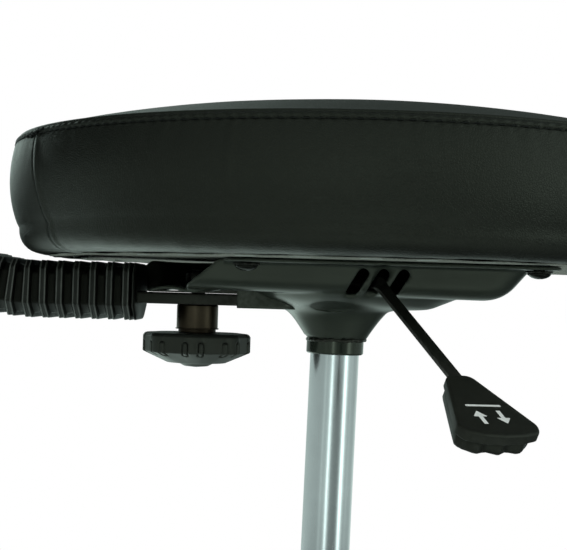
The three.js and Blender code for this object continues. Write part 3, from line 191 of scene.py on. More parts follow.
class StoolColours(bpy.types.PropertyGroup):
    """Base colours of the finishes."""

    vinyl: colour("Vinyl", "Seat and back covers", (0.0042, 0.0052, 0.0043))
    steel: colour("Black steel", "Painted plate and collar", (0.0150, 0.0210, 0.0162))
    chrome: colour("Chrome", "Gas tube, column and base", (0.84, 0.84, 0.88))
    plastic: colour("Black plastic", "Knobs and shell", (0.0135, 0.0160, 0.0138))
    sleeve: colour("Brown sleeve", "Sleeve over the clamp", (0.082, 0.060, 0.042))
    ink: colour("Ink", "Arrows printed on the paddle", (0.72, 0.76, 0.74))


def sizes():
    return bpy.context.scene.stool_sizes


# Plain outlines and curves.


def lerp(a, b, share):
    return a + (b - a) * share


def smooth_step(low, high, value):
    share = min(max((value - low) / (high - low), 0), 1)
    return share * share * (3 - 2 * share)


def bell(value, centre, width):
    """1 at the centre, falling away on both sides."""
    return math.exp(-(((value - centre) / width) ** 2))


def spread(low, high, steps):
    return [lerp(low, high, k / steps) for k in range(steps + 1)]


def turns(count):
    """Headings round the full circle."""
    return [2 * math.pi * k / count for k in range(count)]


def polar(radius, turn, z=0.0):
    return Vector((radius * math.cos(turn), radius * math.sin(turn), z))


def ripple_at(x, y, z=0.0):
    return noise.noise(Vector((x, y, z)))


def eased(points, radius, steps=4, closed=True):
    """A polygon's corners, rounded by the given radius as far as its sides allow."""
    out = []
    count = len(points)
    for k, point in enumerate(points):
        if not closed and k in (0, count - 1):
            out.append(tuple(point))
            continue
        here = Vector(point)
        before = Vector(points[k - 1]) - here
        after = Vector(points[(k + 1) % count]) - here
        half = min(max(before.angle(after, math.pi) / 2, 0.05), 1.5)
        run = min(radius / math.tan(half), before.length * 0.45, after.length * 0.45)
        start = here + before.normalized() * run
        end = here + after.normalized() * run
        for share in spread(0, 1, steps):
            out.append(tuple(start.lerp(here, share).lerp(here.lerp(end, share), share)))
    return out


def catmull(points, steps):
    """A smooth curve through the points, open at both ends."""
    vectors = [Vector(p) for p in points]
    padded = [2 * vectors[0] - vectors[1], *vectors, 2 * vectors[-1] - vectors[-2]]
    out = []
    for k in range(len(vectors) - 1):
        a, b, c, d = padded[k:k + 4]
        for step in range(steps):
            t = step / steps
            out.append(0.5 * ((2 * b) + (c - a) * t + (2 * a - 5 * b + 4 * c - d) * t * t
                              + (3 * b - a - 3 * c + d) * t ** 3))
    out.append(vectors[-1])
    return out


def rounded_rectangle(x0, x1, y0, y1, radius, steps=8):
    points = []
    for quarter, (x, y) in enumerate([(x1, y1), (x0, y1), (x0, y0), (x1, y0)]):
        cx = x - radius if x == x1 else x + radius
        cy = y - radius if y == y1 else y + radius
        for share in spread(0, 1, steps):
            angle = math.pi / 2 * (quarter + share)
            points.append((cx + radius * math.cos(angle), cy + radius * math.sin(angle)))
    return points


def inset(outline, amount):
    """A closed outline drawn in along its own normals."""
    out = []
    for k, point in enumerate(outline):
        along = Vector(outline[(k + 1) % len(outline)]) - Vector(outline[k - 1])
        out.append(tuple(Vector(point) + Vector((-along.y, along.x)).normalized() * amount))
    return out


def level(points, z):
    return [Vector((x, y, z)) for x, y in points]


def upright(x, points):
    return [Vector((x, y, z)) for y, z in points]


# Meshes.


def loft(rings, ends=True, loop=False):
    """Vertices and faces through rings of points that all have as many points."""
    count = len(rings[0])
    verts = [point for ring in rings for point in ring]
    faces = []
    for r in range(len(rings) if loop else len(rings) - 1):
        here, there = r * count, ((r + 1) % len(rings)) * count
        for k in range(count):
            side = (k + 1) % count
            faces.append((here + k, here + side, there + side, there + k))
    if ends and not loop:
        faces.append(tuple(reversed(range(count))))
        faces.append(tuple(range((len(rings) - 1) * count, len(rings) * count)))
    return verts, faces


def spun(columns, closed=False):
    """Vertices and faces through profiles that stand side by side round an axis."""
    count = len(columns[0])
    faces = []
    for k in range(len(columns)):
        here, there = k * count, ((k + 1) % len(columns)) * count
        for p in range(count if closed else count - 1):
            above = (p + 1) % count
            faces.append((here + p, there + p, there + above, here + above))
    return [point for column in columns for point in column], faces


def lathe(profile, segments=96, closed=False):
    """A body of revolution about Z. An open profile starts and ends on the axis."""
    return spun([[polar(r, turn, z) for r, z in profile] for turn in turns(segments)], closed)


def plug(radius, low, high, segments, soft=0.0, steps=3):
    """A solid round bar about Z, with rounded rims if it is soft."""
    profile = [(0, low), (radius, low), (radius, high), (0, high)]
    return lathe(eased(profile, soft, steps, False) if soft else profile, segments)


def merged(shapes):
    verts, faces = [], []
    for more_verts, more_faces in shapes:
        start = len(verts)
        verts += list(more_verts)
        faces += [tuple(start + v for v in face) for face in more_faces]
    return verts, faces


def moved(shape, matrix):
    return [matrix @ Vector(v) for v in shape[0]], shape[1]


def slab(outline, low, high):
    return loft([level(outline, low), level(outline, high)])


def soft_slab(outline, low, high, radius, steps=4):
    """A flat outline drawn up from one height to another, with round top and bottom edges."""
    rings = []
    for edge, way, shares in ((low, 1, spread(0, 1, steps)), (high, -1, spread(1, 0, steps))):
        for share in shares:
            angle = math.pi / 2 * share
            rings.append(level(inset(outline, radius * (1 - math.sin(angle))),
                               edge + way * radius * (1 - math.cos(angle))))
    return loft(rings)


def across(points, y0, y1):
    """A flat outline in X and Z, drawn out along Y."""
    return loft([[Vector((x, y, z)) for x, z in points] for y in (y0, y1)])


def tube(points, radius, sides=6, closed=False):
    """A round thread along the points, with domed ends."""
    rings = []
    count = len(points)
    for k, point in enumerate(points):
        before = points[k - 1] if closed or k > 0 else point
        after = points[(k + 1) % count] if closed or k + 1 < count else point
        along = (after - before).normalized()
        flat = along.cross(Vector((0, 0, 1)))
        flat = flat.normalized() if flat.length > 1e-4 else Vector((1, 0, 0))
        upright = flat.cross(along)
        reach = radius * (0.45 if not closed and k in (0, count - 1) else 1)
        rings.append([point + (flat * math.cos(a) + upright * math.sin(a)) * reach for a in turns(sides)])
    return loft(rings, loop=closed)


def linked(name, mesh):
    obj = bpy.data.objects.new(name, mesh)
    bpy.context.scene.collection.objects.link(obj)
    return obj


def as_object(name, shape, place=None, wear_and_light=None):
    verts, faces = shape
    mesh = bpy.data.meshes.new(name)
    mesh.from_pydata([tuple(v) for v in verts], [], faces)
    if wear_and_light:
        mesh.attributes.new("wear_and_light", "FLOAT", "POINT").data.foreach_set("value", wear_and_light)
    if place is not None:
        mesh.transform(place)
    work = bmesh.new()
    work.from_mesh(mesh)
    bmesh.ops.remove_doubles(work, verts=work.verts, dist=1e-6)
    bmesh.ops.recalc_face_normals(work, faces=work.faces)
    work.to_mesh(mesh)
    work.free()
    return linked(name, mesh)


def settled(obj):
    """Leaves the object with the mesh that its modifiers make, and no modifier."""
    bpy.context.view_layer.update()
    graph = bpy.context.evaluated_depsgraph_get()
    mesh = bpy.data.meshes.new_from_object(obj.evaluated_get(graph))
    obj.modifiers.clear()
    obj.data = mesh
    return obj


def boolean(obj, operation, shape, place):
    tool = as_object("tool", shape, place)
    modifier = obj.modifiers.new(operation, "BOOLEAN")
    modifier.operation = operation
    modifier.solver = "EXACT"
    modifier.object = tool
    settled(obj)
    bpy.data.objects.remove(tool)


def join(obj, shape, place=None):
    boolean(obj, "UNION", shape, place)


def cut(obj, shape, place=None):
    boolean(obj, "DIFFERENCE", shape, place)


def voxel_skin(obj, voxel, smoothing):
    """Gives the body one even skin whose folds and joints are a little rounded."""
    remesh = obj.modifiers.new("skin", "REMESH")
    remesh.mode = "VOXEL"
    remesh.voxel_size = voxel
    relax = obj.modifiers.new("relax", "SMOOTH")
    relax.factor = 0.5
    relax.iterations = smoothing
    return settled(obj)


def deliver(obj, place, body, look, replaces=(), sharp_deg=38):
    """Finishes a piece: its place, shading, material, body and the nodes it stands for."""
    if place is not None:
        obj.data.transform(place)
    mesh = obj.data
    mesh.polygons.foreach_set("use_smooth", [True] * len(mesh.polygons))
    mesh.set_sharp_from_angle(angle=math.radians(sharp_deg))
    mesh.materials.clear()
    mesh.materials.append(finish(look))
    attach(obj, body)
    if replaces:
        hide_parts(*replaces)
    return obj


def piece(name, shape, place, body, look, replaces=(), sharp_deg=38):
    return deliver(as_object(name, shape, place), None, body, look, replaces, sharp_deg)


def dress_node(name, look):
    """Gives a CAD node, kept as it is, one of the finishes."""
    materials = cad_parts[name].data.materials
    materials.clear()
    materials.append(finish(look))


# Shader nodes.


class Graph:
    """A node tree, with short ways to add what the finishes and the stage need."""

    def __init__(self, tree):
        self.tree = tree

    def put(self, value, socket):
        """Links another node's output to the socket, or sets the socket's own value."""
        if isinstance(value, bpy.types.NodeSocket):
            self.tree.links.new(value, socket)
        else:
            socket.default_value = value

    def add(self, kind, inputs=None, **settings):
        made = self.tree.nodes.new("ShaderNode" + kind)
        for key, value in settings.items():
            setattr(made, key, value)
        for key, value in (inputs or {}).items():
            self.put(value, made.inputs[key])
        return made

    def place(self):
        return self.add("TexCoord").outputs["Object"]

    def math(self, operation, first, second):
        return self.add("Math", {0: first, 1: second}, operation=operation).outputs[0]

    def vector(self, operation, first, second):
        other = "Scale" if operation == "SCALE" else 1
        return self.add("VectorMath", {0: first, other: second}, operation=operation).outputs[0]

    def remap(self, value, low, high, to_low=0.0, to_high=1.0, kind="LINEAR"):
        ends = {"Value": value, "From Min": low, "From Max": high, "To Min": to_low, "To Max": to_high}
        return self.add("MapRange", ends, interpolation_type=kind).outputs[0]

    def cloud(self, scale, detail=2.0, roughness=0.5, output=0, place=None):
        values = {"Vector": place or self.place(), "Scale": scale, "Detail": detail, "Roughness": roughness}
        return self.add("TexNoise", values).outputs[output]

    def blend(self, share, first, second):
        return self.add("Mix", {0: share, 6: first, 7: second}, data_type="RGBA").outputs[2]

    def ramp(self, value, stops):
        """A colour ramp through (position, colour) stops."""
        made = self.add("ValToRGB", {0: value})
        elements = made.color_ramp.elements
        for k, (position, colour) in enumerate(stops):
            stop = elements[k] if k < 2 else elements.new(position)
            stop.position, stop.color = position, colour
        return made.outputs[0]

    def layered(self, shader, layers):
        """Shaders laid over the first, each by its share."""
        for share, other in layers:
            shader = self.add("MixShader", {0: share, 1: shader, 2: other}).outputs[0]
        return shader

    def effect(self, name, *values):
        """One of the shared effects, with this material's values in the order of its inputs."""
        placed = self.tree.nodes.new("ShaderNodeGroup")
        placed.node_tree = bpy.data.node_groups.get(name) or make_effect(name)
        for value, socket in zip(values, placed.inputs):
            self.put(value, socket)
        return placed.outputs


# The effects that several finishes share. Each gives out colours, masks or heights only.


def skin_grain(graph, cells, crease):
    """Creased cells of vinyl."""
    place = graph.place()
    warp = graph.vector("SCALE", graph.cloud(260.0, output="Color", place=place), 0.0016)
    bent = graph.vector("ADD", place, warp)
    edges = graph.add("TexVoronoi", {"Vector": bent, "Scale": cells}, feature="DISTANCE_TO_EDGE")
    valley = graph.remap(edges.outputs["Distance"], 0.0, 0.22, kind="SMOOTHSTEP")
    fine = graph.math("MULTIPLY", graph.cloud(3200.0, 3.0), 0.35)
    return graph.math("ADD", graph.math("MULTIPLY", valley, crease), fine), graph.cloud(11.0, 3.0)


def uneven_tone(graph, colour, amount, patches):
    """A colour that is a little uneven from place to place."""
    centred = graph.math("SUBTRACT", graph.cloud(patches, 5.0, 0.6), 0.5)
    swing = graph.math("MULTIPLY", graph.math("MULTIPLY", centred, amount), 4.0)
    return (graph.vector("SCALE", colour, graph.math("ADD", swing, 1.0)),)


def edge_wear_and_shading(graph, colour, worn_and_lit, amount):
    """Lightens the edges, partly as rubbed wear and partly as a painted highlight, and darkens the creases
    between them with painted shade.
    """
    edge = graph.add("NewGeometry").outputs["Pointiness"]
    patchy = graph.remap(graph.cloud(420.0, 4.0), 0.35, 0.6)
    # The edge mask lightens rubbed edges; the same lightening also serves as a painted highlight.
    mask = graph.math("MULTIPLY", graph.math("MULTIPLY", graph.remap(edge, 0.53, 0.62), patchy), amount)
    # Painted shade: the colour is darkened where the surface turns inward, in creases and hollows.
    crease_shade = graph.remap(edge, 0.40, 0.485, 0.15)
    return (graph.vector("SCALE", graph.blend(mask, colour, worn_and_lit), crease_shade),)


def hairlines(graph, across_by, depth):
    """Fine lines along one axis, as left by drawing, grinding or wiping."""
    stretched = graph.vector("MULTIPLY", graph.place(), across_by)
    lines = graph.remap(graph.cloud(1.0, place=stretched), 0.55, 0.8)
    return graph.math("MULTIPLY", lines, depth), lines


def pebble(graph, pebbles, ripples):
    """The small pebbles of powder paint, moulded plastic or cast metal."""
    small = graph.math("MULTIPLY", graph.cloud(pebbles), 0.5)
    return graph.math("ADD", small, graph.cloud(ripples, 1.0)), graph.cloud(34.0, 4.0)


def pressed_fibre(graph, points):
    """Pressed fibres with a grid of weld points, as in non-woven sheet."""
    dots = graph.add("TexVoronoi", {"Vector": graph.place(), "Scale": points, "Randomness": 0.15})
    pressed = graph.remap(dots.outputs["Distance"], 0.1, 0.35)
    return (graph.math("ADD", pressed, graph.cloud(1500.0, 6.0, 0.8)),)


GREY = (0.5, 0.5, 0.5, 1.0)
EFFECTS = {
    "skin_grain": (skin_grain, {"Cells per metre": 900.0, "Crease": 0.6}, ("Height", "Gloss")),
    "uneven_tone": (uneven_tone, {"Colour": GREY, "Amount": 0.2, "Patches per metre": 20.0}, ("Colour",)),
    "edge_wear_and_shading": (edge_wear_and_shading, {"Colour": GREY, "Worn and lit colour": GREY, "Amount": 0.5}, ("Colour",)),
    "hairlines": (hairlines, {"Across": (2600.0, 2600.0, 30.0), "Depth": 1.0}, ("Height", "Gloss")),
    "pebble": (pebble, {"Pebbles per metre": 1800.0, "Ripples per metre": 260.0}, ("Height", "Gloss")),
    "pressed_fibre": (pressed_fibre, {"Points per metre": 620.0}, ("Height",)),
}


def make_effect(name):
    """Builds the node group of an effect from its inputs' defaults and its outputs' names."""
    maker, inputs, outputs = EFFECTS[name]
    tree = bpy.data.node_groups.new(name, "ShaderNodeTree")
    for label, default in inputs.items():
        kind = {3: "Vector", 4: "Color"}[len(default)] if isinstance(default, tuple) else "Float"
        socket = tree.interface.new_socket(name=label, in_out="INPUT", socket_type="NodeSocket" + kind)
        socket.default_value = default
    for label in outputs:
        kind = "Color" if label == "Colour" else "Float"
        tree.interface.new_socket(name=label, in_out="OUTPUT", socket_type="NodeSocket" + kind)
    enter, leave = tree.nodes.new("NodeGroupInput"), tree.nodes.new("NodeGroupOutput")
    made = maker(Graph(tree), *list(enter.outputs)[:len(inputs)])
    for value, socket in zip(made, leave.inputs):
        tree.links.new(value, socket)
    return tree


# Finishes.


BLACK_TINT = (1.0, 1.0, 0.84, 1.0)


def opaque(colour):
    """A colour with full cover, or the panel's colour of that name."""
    if isinstance(colour, str):
        colour = getattr(bpy.context.scene.stool_colours, colour)
    return (*colour, 1.0)


def new_finish(name, **sockets):
    material = bpy.data.materials.new(name)
    material.use_nodes = True
    shader = material.node_tree.nodes["Principled BSDF"]
    for key, value in sockets.items():
        shader.inputs[key.replace("_", " ")].default_value = value
    return material, Graph(material.node_tree), shader.inputs


def relief(graph, sockets, height, distance, strength):
    bump = graph.add("Bump", {"Height": height, "Distance": mm(distance), "Strength": strength})
    graph.put(bump.outputs[0], sockets["Normal"])


def surface(name, colour, patches, skin, depth, gloss=None, worn_and_lit=None, **sockets):
    """A finish with an uneven colour, edges worn and lit by a painted highlight to another, creases
    darkened with painted shade, and one effect's gloss and relief.
    """
    material, graph, inputs = new_finish(name, **sockets)
    grain = graph.effect(*skin)
    tone = graph.effect("uneven_tone", opaque(colour), *patches)[0]
    if worn_and_lit:
        # Painted highlight on the edges and painted shade in the creases, together with wear.
        tone = graph.effect("edge_wear_and_shading", tone, opaque(worn_and_lit[0]), worn_and_lit[1])[0]
    graph.put(tone, inputs["Base Color"])
    if gloss:
        graph.put(graph.remap(grain[1], 0.25, 0.75, *gloss), inputs["Roughness"])
    relief(graph, inputs, grain[0], *depth)
    return material


def painted(name, colour, gloss, worn_and_lit, wear_and_light, shine=0.5):
    """Black paint on steel: a little orange peel, uneven gloss, edges lightened by rubbing and by a painted
    highlight, and creases darkened with painted shade.
    """
    return surface(name, colour, (0.16, 26.0), ("pebble", 900.0, 170.0), (0.06, 0.35), gloss, (worn_and_lit, wear_and_light),
                   Specular_IOR_Level=shine, Specular_Tint=BLACK_TINT)


def moulded(name, colour, gloss, pebbles, worn_and_lit=(0.06, 0.065, 0.06), wear_and_light=0.5):
    """Moulded plastic with a fine matt skin, edges lighter by wear and by a painted highlight, and creases
    darkened with painted shade.
    """
    return surface(name, colour, (0.2, 60.0), ("pebble", pebbles, 310.0), (0.05, 0.5), gloss, (worn_and_lit, wear_and_light),
                   Specular_IOR_Level=0.45, Specular_Tint=BLACK_TINT)


def metal(name, colour, gloss, across_by=(2600.0, 2600.0, 24.0), amount=0.1, lines=0.12):
    """Bare or plated metal with faint lines and an uneven shine."""
    return surface(name, colour, (amount, 22.0), ("hairlines", across_by, 1.0), (0.006, lines), gloss,
                   Metallic=1.0)


def rubber():
    """Black rubber whose rib edges are rubbed shiny while the valleys stay dull; its colour is lighter on
    the rib lips, partly wear and partly a painted highlight, and darkest in the valleys with painted shade.
    """
    material, graph, inputs = new_finish("boot_rubber", Specular_IOR_Level=0.22, Specular_Tint=BLACK_TINT,
                                         Coat_Roughness=0.38)
    wear_and_light = graph.add("Attribute", attribute_name="wear_and_light").outputs["Fac"]
    # Painted light: the base colour is painted shade in the valleys, rising to a painted highlight on the
    # rib lips.
    tone = graph.ramp(wear_and_light, [
        (0.0, (0.0015, 0.0015, 0.0012, 1)), (1.0, (0.042, 0.048, 0.042, 1)),
        (0.3, (0.004, 0.0045, 0.004, 1)), (0.62, (0.010, 0.012, 0.0105, 1)),
    ])
    graph.put(graph.effect("uneven_tone", tone, 0.45, 190.0)[0], inputs["Base Color"])
    graph.put(graph.remap(wear_and_light, 0.1, 0.8, 0.0, 0.7), inputs["Coat Weight"])
    grain = graph.effect("pebble", 1500.0, 310.0)
    graph.put(graph.remap(grain[1], 0.25, 0.75, 0.45, 0.65), inputs["Roughness"])
    relief(graph, inputs, grain[0], 0.06, 0.6)
    return material


# The light edge colours given to painted and moulded finishes are partly wear and partly a painted
# highlight.
FINISHES = {
    "vinyl": lambda: surface("cover_vinyl", "vinyl", (0.12, 9.0), ("skin_grain", 760.0, 0.8), (0.12, 0.8),
                             (0.33, 0.44), Specular_IOR_Level=0.45, Specular_Tint=BLACK_TINT),
    "plate": lambda: painted("plate_paint", "steel", (0.26, 0.42), (0.10, 0.12, 0.105), 0.35),
    "collar": lambda: painted("collar_paint", "steel", (0.10, 0.18), (0.12, 0.12, 0.12), 0.1),
    "bar": lambda: painted("bar_paint", (0.0060, 0.0068, 0.0056), (0.34, 0.5), (0.13, 0.13, 0.12), 0.5,
                           0.28),
    "screw": lambda: painted("screw_black", (0.003, 0.0034, 0.003), (0.14, 0.3), (0.3, 0.3, 0.29), 0.6,
                             0.16),
    "weld": lambda: painted("weld_bead", (0.005, 0.0055, 0.0045), (0.2, 0.5), (0.10, 0.10, 0.09), 0.6),
    "chrome": lambda: metal("chrome_tube", "chrome", (0.2, 0.29)),
    "base_chrome": lambda: metal("chrome_base", "chrome", (0.10, 0.2), (500.0, 500.0, 500.0), 0.06),
    "zinc": lambda: metal("zinc_steel", (0.42, 0.44, 0.43), (0.28, 0.45), (900.0, 900.0, 900.0), 0.2, 0.3),
    "sleeve": lambda: metal("brown_sleeve", "sleeve", (0.34, 0.55), (300.0, 300.0, 2400.0), 0.4, 0.4),
    "rubber": rubber,
    "knob": lambda: moulded("knob_plastic", "plastic", (0.4, 0.55), 2200.0),
    "paddle": lambda: moulded("paddle_plastic", (0.0055, 0.0062, 0.0052), (0.42, 0.56), 2600.0),
    "shell": lambda: moulded("shell_plastic", "plastic", (0.42, 0.58), 1100.0),
    "wheel": lambda: moulded("wheel_plastic", (0.02, 0.021, 0.021), (0.32, 0.5), 1600.0,
                             (0.09, 0.09, 0.088), 0.7),
    "sheet": lambda: surface("non_woven_sheet", (0.19, 0.22, 0.19), (0.45, 700.0), ("pressed_fibre", 420.0),
                             (0.15, 0.8), Roughness=0.95, Specular_IOR_Level=0.2),
    "plywood": lambda: surface("plywood_sheet", (0.42, 0.27, 0.13), (0.3, 12.0),
                               ("hairlines", (14.0, 420.0, 900.0), 1.0), (0.1, 0.6), Roughness=0.7),
    "thread": lambda: surface("sewing_thread", (0.004, 0.005, 0.004), (0.3, 900.0),
                              ("hairlines", (5200.0, 5200.0, 5200.0), 1.0), (0.08, 0.6), (0.5, 0.7),
                              Specular_IOR_Level=0.3),
    "ink": lambda: surface("printed_ink", "ink", (0.12, 300.0), ("pebble", 2500.0, 600.0), (0.02, 0.4),
                           Roughness=0.45),
}
MADE_FINISHES = {}


def finish(name):
    if name not in MADE_FINISHES:
        MADE_FINISHES[name] = FINISHES[name]()
    return MADE_FINISHES[name]


# Padded pieces: a closed form, swollen by cloth under air pressure.


class Swelling:
    """How far each place of a padded form moves when cloth round it is blown up."""

    frames = 20
    settings = {
        "quality": 5, "mass": 0.3, "tension_stiffness": 12, "compression_stiffness": 12,
        "shear_stiffness": 5, "bending_stiffness": 0.4, "use_pressure": True,
        "uniform_pressure_force": 4, "vertex_group_mass": "held",
    }

    def __init__(self, shape, held):
        self.moves = []
        self.tree = None
        cap = sizes().pad_swell
        obj = voxel_skin(as_object("blown", shape), sizes().pad_voxel, 2)
        rest = [v.co.copy() for v in obj.data.vertices]
        group = obj.vertex_groups.new(name="held")
        for k, point in enumerate(rest):
            group.add([k], held(point), "REPLACE")
        cloth = obj.modifiers.new("cloth", "CLOTH")
        for key, value in self.settings.items():
            setattr(cloth.settings, key, value)
        cloth.settings.effector_weights.gravity = 0
        cloth.collision_settings.use_collision = False
        cloth.point_cache.frame_start = 1
        cloth.point_cache.frame_end = self.frames
        scene = bpy.context.scene
        for step in range(self.frames):
            scene.frame_set(step + 1)
        mesh = obj.evaluated_get(bpy.context.evaluated_depsgraph_get()).data
        self.tree = kdtree.KDTree(len(rest))
        for k, point in enumerate(rest):
            move = mesh.vertices[k].co - point
            if move.length > cap:
                move = move * (cap / move.length)
            self.moves.append(move)
            self.tree.insert(point, k)
        self.tree.balance()
        scene.frame_set(1)
        bpy.data.objects.remove(obj)

    def at(self, point):
        """The mean of what the nearest places of the blown skin do, weighed by nearness."""
        total, weight = Vector((0, 0, 0)), 0
        if self.tree is None:
            return total
        for _, k, distance in self.tree.find_n(point, 8):
            share = 1 / (distance + mm(1.5))
            total += self.moves[k] * share
            weight += share
        return total / weight


class StoolOperator:
    """What every operator of the stool has in common."""

    bl_options = {"REGISTER", "UNDO"}

    def execute(self, context):
        self.make()
        return {"FINISHED"}


# The seat cushion.


STITCH_SEGMENTS = 6
SIDE_HEIGHT = SEAT.seam_level - SEAT.foot_level
UNDER_RADIUS = SEAT.foot_radius - SEAT.fold
CROWN_STEPS = mm([4.0, 2.6, 1.8, 1.2, 0.7, 0.3])
SEAM_STEPS = mm([0.35, 0.7, 1.1, 1.6, 2.2, 2.8, 3.2, 3.6, 4.0, 4.4, 5.0, 6.2])


def seat_side(share):
    """Radius and level down the seat's side, from the seam at 0 to the foot at 1."""
    lean = lerp(SEAT.seam_radius, SEAT.foot_radius, share)
    bulge = SEAT.bulge * max(math.sin(math.pi * share), 0) ** SEAT.bulge_power
    return lean + bulge, lerp(SEAT.seam_level, SEAT.foot_level, share)


def seat_crown(share):
    """Radius and level over the seat's top, from the middle at 0 to the seam at 1."""
    return SEAT.seam_radius * share, SEAT.seam_level + SEAT.crown * (1 - share ** SEAT.crown_power)


def seat_fold(share):
    """The fold under the seat's side, from the foot at 0 to the flat underside at 1."""
    angle = math.pi / 2 * share
    out, down = (max(part, 0) ** SEAT.fold_power for part in (math.cos(angle), math.sin(angle)))
    return UNDER_RADIUS + SEAT.fold * out, SEAT.foot_level - (SEAT.foot_level - SEAT.floor) * down


def seat_rings():
    """The seat's outline as (radius, level, distance below the seam) points."""
    rings = []
    for share in [1 - (1 - k / 20) ** 1.5 for k in range(1, 20)]:
        rings.append((*seat_crown(share), -SEAT.seam_radius * (1 - share)))
    rings += [(*seat_crown(1 - drop / SEAT.seam_radius), -drop) for drop in CROWN_STEPS]
    rings.append((*seat_side(0), 0.0))
    rings += [(*seat_side(drop / SIDE_HEIGHT), drop) for drop in SEAM_STEPS]
    for share in spread(SEAM_STEPS[-1] / SIDE_HEIGHT, 1, 18)[1:]:
        rings.append((*seat_side(share), share * SIDE_HEIGHT))
    rings += [(*seat_fold(k / 9), SIDE_HEIGHT + k * 4 / 3 * MM) for k in range(1, 10)]
    for k in range(1, 8):
        radius = lerp(UNDER_RADIUS, SEAT.lip_radius, k / 7)
        rings.append((radius, SEAT.floor, SIDE_HEIGHT + mm(14) + k * 2 * MM))
    return rings


def join_turn(drop):
    """The heading of the side band's join, which leans a little from its top to its foot."""
    return math.radians(lerp(210, 213.7, min(max(drop / SIDE_HEIGHT, 0), 1)))


def seam_relief(drop, stitch, phase):
    """How far the cover stands out at a distance below the seam, for a place along a stitch."""
    line = sizes().stitch_drop
    out = mm(0.45) * bell(drop, mm(-0.9), mm(0.8))
    out -= mm(0.55) * bell(drop, mm(0.35), mm(0.38))
    out += mm(0.5) * bell(drop, mm(2.1), mm(1.1))
    out -= mm(0.5 + 0.18 * math.cos(2 * math.pi * stitch)) * bell(drop, line, mm(0.5))
    belt = smooth_step(mm(0.3), mm(1.2), drop) * (1 - smooth_step(line - mm(0.6), line + mm(4), drop))
    return out + sizes().pucker * belt * math.cos(2 * math.pi * (stitch + drop / mm(4.2)) + phase)


def side_relief(turn, radius, drop):
    """The band's upright join, a sunk line beside a raised edge, and one soft crease."""
    out = mm(0.22) * bell(turn, math.radians(250.5), 0.011) * bell(drop, mm(22), mm(16))
    swing = (turn - join_turn(drop) + math.pi) % (2 * math.pi) - math.pi
    if abs(swing) < 0.08:
        arc = swing * radius
        join_line = mm(0.75) * bell(arc, mm(4.2), mm(2.6)) - mm(0.6) * bell(arc, mm(-0.2), mm(0.6))
        out += join_line * smooth_step(mm(1), mm(5), drop)
    return out


def seat_surface(swelling, outline):
    """Rings of points over the seat's skin, with its seams, puckers and pleats."""
    stitches = round(2 * math.pi * SEAT.seam_radius / sizes().stitch_pitch)
    out = []
    for r, (radius, z, drop) in enumerate(outline):
        before, after = outline[max(r - 1, 0)], outline[min(r + 1, len(outline) - 1)]
        along = Vector((after[0] - before[0], after[1] - before[1])).normalized()
        hold = 1 - bell(drop, mm(1.5), mm(5))
        foot = smooth_step(SIDE_HEIGHT - mm(16), SIDE_HEIGHT + mm(4), drop)
        under = smooth_step(SIDE_HEIGHT + mm(8), SIDE_HEIGHT + mm(26), drop)
        ring = []
        for k, turn in enumerate(turns(stitches * STITCH_SEGMENTS)):
            away = polar(1, turn)
            place = Vector((radius * away.x, radius * away.y, z))
            wide = ripple_at(away.x * 5, away.y * 5, 4.2)
            fine = ripple_at(away.x * 16, away.y * 16, 9.7)
            pleat = ripple_at(away.x * 34, away.y * 34, 1.3 + drop * 9)
            lift = mm(0.35) * ripple_at(place.x * 14, place.y * 14, place.z * 20) * hold
            if abs(drop) < mm(11):
                lift += seam_relief(drop, k / STITCH_SEGMENTS, 0.9 * fine)
            if mm(4) < drop < mm(26):
                lift += mm(0.22) * pleat * (1 - smooth_step(mm(6), mm(26), drop))
            if drop > 0:
                lift += side_relief(turn, radius, drop)
            lift += mm(max(0.5 * wide + 0.3 * fine, -0.15)) * foot * (1 - under)
            lift += mm(0.3) * pleat * under
            point = place + (away * -along.y + Vector((0, 0, along.x))) * lift
            if drop < SIDE_HEIGHT:
                point += swelling.at(place) * hold * (1 - foot)
            ring.append(point)
        out.append(ring)
    return out, stitches


def stood_out(point, out, rise):
    """The point moved away from the axis, and up."""
    return point + Vector((point.x, point.y, 0)).normalized() * out + Vector((0, 0, rise))


